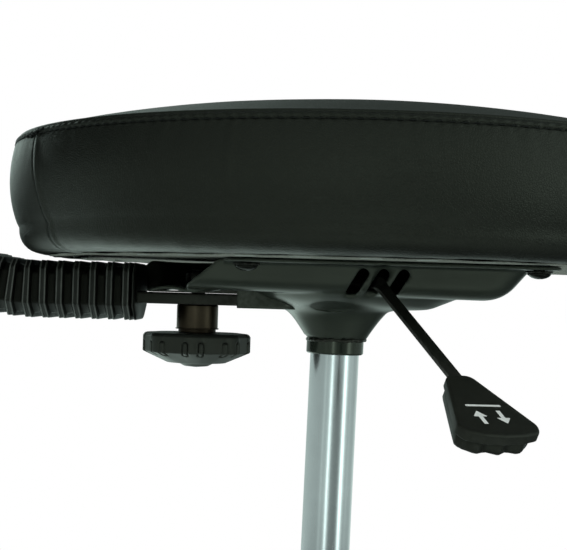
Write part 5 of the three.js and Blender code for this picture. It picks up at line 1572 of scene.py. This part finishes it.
def knob_shape(radius):
    """A lobed knob with pairs of looped grooves, its flat face at 0 and its nub below."""
    scale = radius / CLAMP.knob
    profile, lengths = knob_profile(scale)
    rim, cone_radius, nub_radius = CLAMP.rim * scale, CLAMP.cone_radius * scale, CLAMP.nub_radius * scale
    groove_top = -mm(1.5) * scale * 1.5
    loop_half, loop_round = mm(5.2) * scale, mm(1.55) * scale
    loop_middle = radius + rim * 0.32 + loop_half
    columns = []
    for turn in turns(CLAMP.lobes * 60):
        lobe_turn = (turn * CLAMP.lobes / (2 * math.pi) + 0.5) % 1 - 0.5
        bulge = math.cos(2 * math.pi * lobe_turn)
        lobe = CLAMP.lobe * scale * (math.copysign(abs(bulge) ** 0.6, bulge) - 0.2)
        away = polar(1, turn)
        column = []
        for (r, z), run in zip(profile, lengths):
            reach = r + lobe * smooth_step(cone_radius * 0.9, radius * 0.99, r)
            depth = 0.0
            if z < groove_top and r > nub_radius:
                for side in (-1, 1):
                    u = (lobe_turn * 2 * math.pi / CLAMP.lobes) * r - side * mm(4.6) * scale * r / radius
                    v = max(abs(run - loop_middle) - (loop_half - loop_round), 0)
                    depth = max(depth, bell(abs(math.hypot(u, v) - loop_round), 0, mm(0.42)))
            inward = away if z > -rim else away * 0.4 + Vector((0, 0, -0.9))
            column.append(polar(reach, turn, z) - inward * depth * sizes().groove_depth)
        columns.append(column)
    return spun(columns)


def threaded(profile, low, high):
    """The profile with thread crests between two heights."""
    out = []
    for a, b in zip(profile, profile[1:]):
        out.append(a)
        if abs(a[0] - b[0]) < 1e-6 and a[0] > mm(2) and b[1] - a[1] > mm(6):
            z = max(low, a[1] + mm(0.5))
            while z + CLAMP.thread < min(high, b[1] - mm(0.3)):
                out += [(a[0], z), (a[0] - mm(0.6), z + mm(0.55)), (a[0], z + mm(1.1))]
                z += CLAMP.thread
    out.append(profile[-1])
    return out


class STOOL_OT_clamp(StoolOperator, bpy.types.Operator):
    """Makes the clamp under the bar: brown sleeve, lobed knob, bolt and nut"""

    bl_idname = "stool.clamp"
    bl_label = "Bar clamp"

    knob_hole = mm(-9.3)
    bolt_foot = KNOB_TOP - mm(9)
    bolt_end = mm(12)
    nut_radius = mm(7.5)
    nut_height = mm(6.5)

    def make(self):
        place = HEAD @ shift(CLAMP.x)
        top, out = BAR_FOOT - GAP, CLAMP.sleeve
        foot = top - CLAMP.sleeve_length
        lip, ring_foot = foot - CLAMP.lip, foot - CLAMP.ring_length
        sleeve = eased([
            (BORE, top), (out - mm(0.3), top), (out, top - mm(0.6)), (out, foot), (out + CLAMP.lip, foot),
            (out + CLAMP.lip, lip), (CLAMP.ring, lip), (CLAMP.ring, ring_foot), (BORE, ring_foot),
        ], mm(0.3), 3)
        piece("clamp_sleeve_tube", lathe(sleeve, 96, True), place, "clamp_sleeve", "sleeve",
              ("clamp_spacer",), 30)
        knob = as_object("clamp_hand_knob", knob_shape(CLAMP.knob))
        cut(knob, plug(BORE, self.knob_hole, mm(2), 32))
        deliver(knob, place @ shift(z=KNOB_TOP), "clamp_screw", "knob",
                ("clamp_knob",), 50)
        end = self.bolt_end
        bolt = eased([(0, self.bolt_foot), (CLAMP.bolt, self.bolt_foot), (CLAMP.bolt, end - mm(0.8)),
                      (CLAMP.bolt - mm(0.8), end), (0, end)], mm(0.2), 2, False)
        piece("clamp_stud", lathe(threaded(bolt, mm(2), mm(11)), 48), place, "clamp_screw", "screw",
              ("clamp_bolt",))
        floor = PLATE.bottom + PLATE.sheet - floor_fall(PLATE.rear) + GAP
        hexagon = eased([polar(self.nut_radius, turn).xy for turn in turns(6)], mm(0.6), 3)
        nut = as_object("clamp_nut", soft_slab(hexagon, floor, floor + self.nut_height, mm(0.5), 3))
        cut(nut, plug(BORE, floor - MM, floor + mm(8), 32))
        deliver(nut, place, "seat_frame", "screw", ("weld_nut",))


# The backrest.


BAR_HALF = BAR.thickness / 2 + GAP
BACK_FACE_X = UPRIGHT_X + BAR_HALF + BACK.sleeve_wall + BACK.stand
SHELL_X = BACK_FACE_X + GAP
CUSHION_X = SHELL_X + BACK.shell + SLIDE


def back_curl(y):
    """How far forward the curved face stands at a distance from its middle."""
    return BACK.curve - math.sqrt(BACK.curve ** 2 - y ** 2)


def back_ring(share, draw_in, x, steps=112):
    """A ring on the backrest's curved face: a rounded oblong at a share of its size."""
    ring = []
    for turn in turns(steps):
        y, z = (
            (half - draw_in) * share * math.copysign(abs(part) ** (2 / BACK.outline_power), part)
            for half, part in ((BACK.half_width, math.cos(turn)), (BACK.half_height, math.sin(turn))))
        ring.append(Vector((x + back_curl(y), y, BACK.level + z)))
    return ring


class STOOL_OT_backrest(StoolOperator, bpy.types.Operator):
    """Makes the backrest: padded cover with its piping, shell, bracket and clamp"""

    bl_idname = "stool.backrest"
    bl_label = "Backrest"

    def make(self):
        self.cushion()
        self.shell()
        self.bracket()
        self.clamp()

    def cushion_rows(self):
        """The cushion's rings from its back to its face: share of the size, drawn in, forward."""
        edge, turn_in, soft = BACK.pad_edge, mm(3), mm(2.5)
        rows = [(0.02, turn_in, 0.0), (0.5, turn_in, 0.0), (0.86, turn_in, 0.0), (0.96, turn_in, mm(0.1))]
        for angle in spread(0, math.pi / 2, 5):
            rows.append((1, turn_in * (1 - math.sin(angle)), soft * (1 - math.cos(angle))))
        for share in spread(0, 1, 9)[1:]:
            rows.append((1, -soft * math.sin(math.pi * share), soft + (edge - soft) * share))
        for share in [1 - (k / 22) ** 1.35 for k in range(1, 22)] + [0.02]:
            rows.append((share, 0, edge + (BACK.pad - edge) * (1 - share ** BACK.crown_power)))
        return rows

    def cushion(self):
        rows = self.cushion_rows()

        def held(point):
            return 1.0 if point.x - back_curl(point.y) < CUSHION_X + mm(3) else 0.0

        plain = loft([back_ring(share, draw_in, CUSHION_X + out) for share, draw_in, out in rows])
        swelling = Swelling(plain, held)
        rings = []
        steps = 448
        for share, draw_in, out in rows:
            edge = 1 - share if out > BACK.pad_edge else 0
            near = 1 - smooth_step(0, 0.12, edge) if out >= BACK.pad_edge * 0.7 else 0
            ring = []
            for turn, point in zip(turns(steps), back_ring(share, draw_in, CUSHION_X + out, steps)):
                forward = mm(0.35) * near * math.cos(70 * turn + 2 * ripple_at(turn * 4, 0))
                move = Vector((0, 0, 0))
                if out > mm(3):
                    forward += mm(0.5) * noise.noise(point * 16)
                    move = swelling.at(point) * (1 - 0.85 * near)
                ring.append(point + move + Vector((forward, 0, 0)))
            rings.append(ring)
        pad = piece("back_pad", loft(rings), HEAD, "backrest", "vinyl", ("back_cushion",), 60)
        cord = back_ring(1, mm(-0.4), CUSHION_X + BACK.pad_edge + mm(0.2), 260)
        piece("back_piping", tube(cord, mm(1.7), 10, True), HEAD, "backrest", "vinyl", (), 60)

    def shell(self):
        flat = mm(2.5)
        rows = [(share, flat, 0.0) for share in (0.02, 0.6, 0.93)]
        for angle in spread(0, math.pi, 8):
            rows.append((1, flat - mm(1.6) * math.sin(angle), BACK.shell / 2 * (1 - math.cos(angle))))
        rows += [(share, flat, BACK.shell) for share in (0.93, 0.6, 0.02)]
        rings = [back_ring(share, draw_in, SHELL_X + out, 160) for share, draw_in, out in rows]
        piece("back_shell_panel", loft(rings), HEAD, "backrest", "shell",
              ("back_shell",), 40)

    def bracket(self):
        low, high = BACK.level - BACK.sleeve_height / 2, BACK.level + BACK.sleeve_height / 2
        depth = BAR_HALF + BACK.sleeve_wall
        half = BAR.width / 2 + GAP
        sleeve = rounded_rectangle(UPRIGHT_X - depth, BACK_FACE_X, -half - BACK.sleeve_wall,
                                   half + BACK.sleeve_wall, mm(3), 6)
        bracket = as_object("back_bracket_steel", soft_slab(sleeve, low, high, mm(0.8)))
        mount = rounded_rectangle(BACK_FACE_X - BACK.plate_sheet, BACK_FACE_X, -BACK.plate_half,
                                  BACK.plate_half, mm(1.2), 4)
        join(bracket, soft_slab(mount, low, high, mm(0.6)))
        facing = shift(UPRIGHT_X - depth, 0, BACK.level) @ spin(math.pi / 2, "Y")
        join(bracket, plug(BACK.boss, -BACK.boss_length, mm(2), 48, mm(0.8)), facing)
        way = rounded_rectangle(UPRIGHT_X - BAR_HALF, UPRIGHT_X + BAR_HALF, -half, half, mm(1), 4)
        cut(bracket, slab(way, low - mm(2), high + mm(2)))
        cut(bracket, plug(BORE, -BACK.boss_length - mm(2), depth, 32), facing)
        deliver(bracket, HEAD, "backrest", "bar", ("back_bracket",), 30)

    def clamp(self):
        outward = HEAD @ shift(UPRIGHT_X - BAR.thickness / 2, 0, BACK.level) @ spin(-math.pi / 2, "Y")
        boss_face = GAP + BACK.sleeve_wall + BACK.boss_length
        low, end = boss_face + GAP, boss_face + BACK.bolt_out
        high = low + BACK.washer_sheet
        washer = eased([(BORE, low), (BACK.washer, low), (BACK.washer, high), (BORE, high)], mm(0.4), 3)
        piece("back_clamp_washer", lathe(washer, 64, True), outward, "back_ring", "zinc",
              ("back_washer",))
        near = high + GAP
        knob = as_object("back_hand_knob", knob_shape(BACK.knob))
        cut(knob, plug(BORE, near - end - GAP, mm(2), 32))
        deliver(knob, outward @ shift(z=near) @ spin(math.pi, "X"), "back_screw", "knob",
                ("back_knob",), 50)
        piece("back_clamp_stud", plug(CLAMP.bolt, GAP, end, 40, mm(0.5)), outward, "back_screw", "zinc",
              ("back_bolt",))


# The base and its casters.


class STOOL_OT_base(StoolOperator, bpy.types.Operator):
    """Makes the five-legged base"""

    bl_idname = "stool.base"
    bl_label = "Star base"

    stem_bore = mm(5.8)
    stem_hole = mm(20.3)

    def leg(self, draw_in, start, end, foot_z):
        rings = []
        for reach in spread(start, end, 18):
            share = max((reach - BASE.hub) / (BASE.orbit - BASE.hub), 0)
            half = lerp(BASE.root_half, BASE.tip_half, share) - draw_in
            foot = foot_z + BASE.root_lift * (1 - share) ** 2 - (mm(3) if draw_in else 0)
            top = foot_z + lerp(BASE.root_top, BASE.tip_top, share) - draw_in
            crown = half * 0.62
            side = [(half, foot), (half, lerp(foot, top, 0.4)),
                    ((half + crown) / 2, lerp(foot, top, 0.7)), (crown / 2, top)]
            section = eased([*side, *[(-y, z) for y, z in reversed(side)]], mm(3.5), 3)
            rings.append(upright(reach, section))
        return loft(rings)

    def make(self):
        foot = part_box("star_base")[0].z
        top = foot + BASE.hub_height
        hub = eased([(0, foot), (BASE.hub, foot), (BASE.hub, foot + BASE.hub_height / 2),
                     (BASE.hub_top, top - mm(2)), (BASE.hub_top - mm(2), top), (0, top)], mm(3), 4, False)
        base = as_object("five_leg_base", lathe(hub, 96))
        pocket = self.leg(BASE.wall, mm(46), BASE.orbit - BASE.end, foot)
        stem = plug(self.stem_bore, foot - mm(2), foot + self.stem_hole, 24)
        headings = [spin(turn, "Z") for turn in turns(BASE.legs)]
        for heading in headings:
            join(base, self.leg(0, BASE.hub - mm(7), BASE.orbit, foot), heading)
            end = plug(BASE.end, foot, foot + BASE.tip_top - MM, 48, mm(3.5), 4)
            join(base, end, heading @ shift(BASE.orbit))
        for heading in headings:
            cut(base, moved(pocket, heading))
        for heading in headings:
            cut(base, moved(stem, heading @ shift(BASE.orbit)))
        column_foot, over = COLUMN_LOW.z, top + mm(3)
        bore = [(0, column_foot - mm(3)), (mm(23.7), column_foot - mm(3)), (mm(23.7), column_foot),
                (mm(25.3), column_foot + mm(62)), (mm(25.3), over), (0, over)]
        cut(base, lathe(bore, 96))
        voxel_skin(base, mm(1.7), 4)
        deliver(base, LIFT, "base", "base_chrome", ("star_base",), 50)


class STOOL_OT_casters(StoolOperator, bpy.types.Operator):
    """Makes the five twin-wheel casters"""

    bl_idname = "stool.casters"
    bl_label = "Casters"

    near = CASTER.web / 2 + SLIDE

    # The wheel's far face in millimetres: radius less the tread's, or from the axle, and depth.
    tread = ((2.6, 0), (5.2, 0), (5.8, -0.9), (6.6, -0.9), (7.2, -0.1))
    cap = ((11, -0.6), (10.2, -1.6), (8.6, -1.6), (7.8, -1.0))

    def hood(self, axle_z, boss_top):
        room = CASTER.wheel + CASTER.clearance
        outer = room + CASTER.wall
        half = self.near + CASTER.wheel_width + CASTER.reach
        arch = [(outer * math.cos(a), axle_z + outer * math.sin(a)) for a in spread(0, math.pi, 32)]
        arch += [(side * (outer - CASTER.wall), axle_z - CASTER.skirt) for side in (-1, 1)]
        hood = as_object("hood", moved(across(arch, -half, half), shift(-CASTER.trail)))
        join(hood, plug(CASTER.boss, axle_z, boss_top, 40, mm(1.2), 4))
        axle = shift(-CASTER.trail, 0, axle_z)
        for side in (-1, 1):
            cut(hood, plug(room, CASTER.web / 2, half + mm(2), 64), axle @ spin(side * math.pi / 2, "X"))
        cut(hood, plug(mm(4.3), boss_top - mm(14), boss_top + mm(2), 24))
        cut(hood, plug(CASTER.axle + GAP, -half, half, 24), axle @ spin(math.pi / 2, "X"))
        return voxel_skin(hood, mm(0.9), 3)

    def wheel(self, radius):
        """One wheel about Z: round tread, ringed face and a domed cap."""
        far, bore = CASTER.wheel_width, CASTER.axle + GAP
        profile = [(bore, 0.0), (radius - mm(1.6), 0.0), (radius, mm(2.2)), (radius, far - mm(3))]
        profile += [(radius - mm(inner), far + mm(z)) for inner, z in self.tread]
        profile += [(mm(r), far + mm(z)) for r, z in self.cap]
        profile.append((bore, far - mm(2.6)))
        return lathe(eased(profile, mm(0.6), 3), 72, True)

    def make(self):
        boss_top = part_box("caster_hood_1")[1].z
        stem_low, stem_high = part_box("caster_stem_1")
        axle_low, axle_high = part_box("caster_axle_1")
        axle_z = (axle_low.z + axle_high.z) / 2
        hood = self.hood(axle_z, boss_top)
        low, seat_z, high = stem_low.z, boss_top + GAP, stem_high.z
        flange = seat_z + mm(3.4)
        stem = lathe(eased([
            (0, low), (mm(4), low), (mm(4), seat_z), (mm(8), seat_z), (mm(8), flange), (mm(5.5), flange),
            (mm(5.5), high - MM), (mm(4.6), high), (0, high),
        ], mm(0.4), 3, False), 40)
        half = (axle_high.y - axle_low.y) / 2
        axle, wheel = plug(CASTER.axle, -half, half, 32, mm(0.5)), self.wheel(axle_z)
        for k in range(1, BASE.legs + 1):
            low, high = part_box(f"caster_stem_{k}")
            here = shift((low.x + high.x) / 2, (low.y + high.y) / 2)
            shell = linked(f"hood_shell_{k}", hood.data.copy())
            deliver(shell, here, f"caster_{k}", "wheel", (f"caster_hood_{k}",), 40)
            piece(f"stem_pin_{k}", stem, here, "base", "zinc", (f"caster_stem_{k}",), 30)
            hub = here @ shift(-CASTER.trail, 0, axle_z)
            piece(f"axle_pin_{k}", axle, hub @ spin(math.pi / 2, "X"), f"caster_{k}", "zinc",
                  (f"caster_axle_{k}",), 30)
            for label, side in (("left", 1), ("right", -1)):
                place = hub @ spin(-side * math.pi / 2, "X") @ shift(z=self.near)
                piece(f"wheel_disc_{k}_{label}", wheel, place, f"wheel_{k}_{label}", "wheel",
                      (f"caster_wheel_{k}_{label}",), 30)
        bpy.data.objects.remove(hood)


# The stage.


class STOOL_OT_stage(StoolOperator, bpy.types.Operator):
    """Makes the floor, the lamps, the room that shiny surfaces show, and the camera"""

    bl_idname = "stool.stage"
    bl_label = "Stage and camera"

    image_width = 567
    focal_pixels = 1313.7
    camera_offset = -0.0293
    camera_distance = 0.7591
    yaw, pitch, roll = math.radians(-0.18), math.radians(0.68), math.radians(2.81)

    # The room's tones by heading in degrees from the camera's side: level, above, below and floor.
    level_tones = (
        (-180, 0.62), (-150, 0.5), (-107, 0.47), (-60, 0.42), (-45, 0.42), (-38, 0.66), (-32, 0.46),
        (-18, 0.5), (-13, 0.9), (-9, 2.4), (-4, 1.2), (1, 0.5), (7, 0.27), (28, 0.2), (40, 0.22),
        (48, 0.55), (54, 2.0), (61, 2.0), (68, 0.7), (80, 0.4), (92, 0.5), (107, 0.42), (128, 0.42),
        (150, 0.7), (180, 0.62),
    )
    high_tones = (
        (-180, 0.08), (-168, 0.7), (-154, 2.4), (-140, 1.1), (-122, 0.03), (-90, 0.03), (-60, 0.2),
        (-40, 0.34), (-9, 0.42), (30, 0.5), (63, 0.95), (90, 0.7), (125, 0.2), (150, 0.2), (180, 0.08),
    )
    low_tones = (
        (-180, 1.0), (-160, 2.2), (-140, 1.3), (-118, 0.25), (-85, 0.08), (-50, 0.1), (0, 0.12),
        (60, 0.12), (120, 0.04), (164, 0.05), (180, 1.0),
    )
    floor_tones = (
        (-180, 0.8), (-150, 1.0), (-120, 0.4), (-60, 0.5), (0, 0.72), (60, 0.6), (110, 0.1),
        (160, 0.08), (180, 0.8),
    )
    brightest = 2.5
    room_tint = (0.80, 1.0, 0.93)

    # Each lamp's place, width and power.
    boxes = {
        "key_box": ((-1.3, -1.5, 1.9), 1.3, 15),
        "fill_box": ((1.8, -1.1, 1.3), 1.5, 9),
        "back_box": ((0.2, 1.9, 1.7), 1.8, 16),
    }
    floor_half = 7.0

    def make(self):
        scene = bpy.context.scene
        scene.view_settings.view_transform = "Standard"
        self.world(scene)
        self.floor()
        self.lamps()
        self.camera(scene)

    def grey(self, tone):
        return (tone / self.brightest,) * 3 + (1,)

    def fresh(self, block):
        """An empty node tree of the block, with the light path's outputs."""
        block.use_nodes = True
        block.node_tree.nodes.clear()
        graph = Graph(block.node_tree)
        return graph, graph.add("LightPath").outputs

    def room(self, graph):
        """The tone that a shiny surface meets in a direction."""
        x, y, z = graph.add("SeparateXYZ", {0: graph.add("TexCoord").outputs["Generated"]}).outputs
        turn = graph.math("ARCTAN2", x, graph.math("MULTIPLY", y, -1.0))
        heading = graph.remap(turn, -math.pi, math.pi)
        tone, high, low, ground = (
            graph.ramp(heading, [((degrees + 180) / 360, self.grey(grey)) for degrees, grey in stops])
            for stops in (self.level_tones, self.high_tones, self.low_tones, self.floor_tones))
        for other, start, end in ((high, 0.0, 0.1), (low, -0.2, -0.36), (ground, -0.5, -0.64),
                                  (self.grey(0.2), 0.45, 0.75), (self.grey(0.07), -0.84, -0.96)):
            tone = graph.blend(graph.remap(z, start, end, kind="SMOOTHSTEP"), tone, other)
        return graph.vector("MULTIPLY", tone, self.room_tint)

    def world(self, scene):
        """White where the camera sees it, the room's tones for shiny surfaces, soft light elsewhere."""
        scene.world = bpy.data.worlds.new("studio")
        graph, path = self.fresh(scene.world)
        lights = (((0.95, 1.0, 0.97, 1), 0.6), (self.room(graph), self.brightest), ((1, 1, 1, 1), 1.0))
        soft, room, white = (
            graph.add("Background", {"Color": colour, "Strength": strength}).outputs[0]
            for colour, strength in lights)
        seen = graph.math("MAXIMUM", path["Is Camera Ray"], path["Is Transmission Ray"])
        shader = graph.layered(soft, ((path["Is Glossy Ray"], room), (seen, white)))
        graph.add("OutputWorld", {0: shader})

    def floor(self):
        """A pale floor: white far off, clear from below and to shiny surfaces."""
        half = self.floor_half
        mesh = bpy.data.meshes.new("studio_floor")
        mesh.from_pydata([(-half, -half, 0), (half, -half, 0), (half, half, 0), (-half, half, 0)], [],
                         [(0, 1, 2, 3)])
        linked("studio_floor", mesh)
        material = bpy.data.materials.new("pale_floor")
        graph, path = self.fresh(material)
        away = graph.add("VectorMath", {0: graph.place()}, operation="LENGTH").outputs["Value"]
        mask = graph.math("MULTIPLY", graph.remap(away, 0.7, 1.7, kind="SMOOTHSTEP"), path["Is Camera Ray"])
        plain = graph.add("BsdfDiffuse", {"Color": (0.86, 0.86, 0.86, 1)}).outputs[0]
        white = graph.add("Emission", {"Color": (1, 1, 1, 1), "Strength": 1.0}).outputs[0]
        clear = graph.add("BsdfTransparent").outputs[0]
        below = graph.add("NewGeometry").outputs["Backfacing"]
        shader = graph.layered(plain, ((mask, white), (path["Is Glossy Ray"], clear), (below, clear)))
        graph.add("OutputMaterial", {0: shader})
        mesh.materials.append(material)

    def lamps(self):
        target = Vector((0, 0, 0.5))
        for name, (place, size, power) in self.boxes.items():
            lamp = bpy.data.lights.new(name, "AREA")
            lamp.shape, lamp.size, lamp.energy = "SQUARE", size, power
            obj = linked(name, lamp)
            obj.location = place
            obj.rotation_mode = "QUATERNION"
            obj.rotation_quaternion = (target - Vector(place)).to_track_quat("-Z", "Y")
            obj.visible_glossy = False

    def camera(self, scene):
        data = bpy.data.cameras.new("photo_camera")
        data.sensor_width = 36.0
        data.lens = data.sensor_width * self.focal_pixels / self.image_width
        data.clip_start, data.clip_end = 0.05, 40
        scene.camera = linked("photo_camera", data)
        ahead = Vector((math.sin(self.yaw), math.cos(self.yaw), 0))
        right = Vector((ahead.y, -ahead.x, 0))
        forward = ahead * math.cos(self.pitch) + Vector((0, 0, math.sin(self.pitch)))
        up = right.cross(forward)
        c, s = math.cos(self.roll), math.sin(self.roll)
        origin = (AXIS_X + self.camera_offset, -self.camera_distance, DATUM.z)
        scene.camera.matrix_world = standing((right * c + up * s, up * c - right * s, -forward), origin)


class STOOL_PT_parts(bpy.types.Panel):
    """Lists the stool's pieces, sizes and colours in the sidebar"""

    bl_idname = "STOOL_PT_parts"
    bl_label = "Work stool"
    bl_space_type = "VIEW_3D"
    bl_region_type = "UI"
    bl_category = "Stool"

    def draw(self, context):
        column = self.layout.column()
        for group in (context.scene.stool_sizes, context.scene.stool_colours):
            for key in group.__annotations__:
                column.prop(group, key)
        for operator in OPERATORS:
            column.operator(operator.bl_idname)


OPERATORS = tuple(StoolOperator.__subclasses__())
CLASSES = (StoolSizes, StoolColours, *OPERATORS, STOOL_PT_parts)


def register():
    for cls in CLASSES:
        bpy.utils.register_class(cls)
    bpy.types.Scene.stool_sizes = bpy.props.PointerProperty(type=StoolSizes)
    bpy.types.Scene.stool_colours = bpy.props.PointerProperty(type=StoolColours)


def unregister():
    del bpy.types.Scene.stool_colours
    del bpy.types.Scene.stool_sizes
    for cls in reversed(CLASSES):
        bpy.utils.unregister_class(cls)


def main():
    register()
    bpy.ops.stool.seat()
    bpy.ops.stool.underside()
    bpy.ops.stool.plate()
    bpy.ops.stool.screws()
    bpy.ops.stool.lift()
    bpy.ops.stool.lever()
    bpy.ops.stool.bar()
    bpy.ops.stool.boot()
    bpy.ops.stool.clamp()
    bpy.ops.stool.backrest()
    bpy.ops.stool.base()
    bpy.ops.stool.casters()
    bpy.ops.stool.stage()


if __name__ == "__main__":
    main()
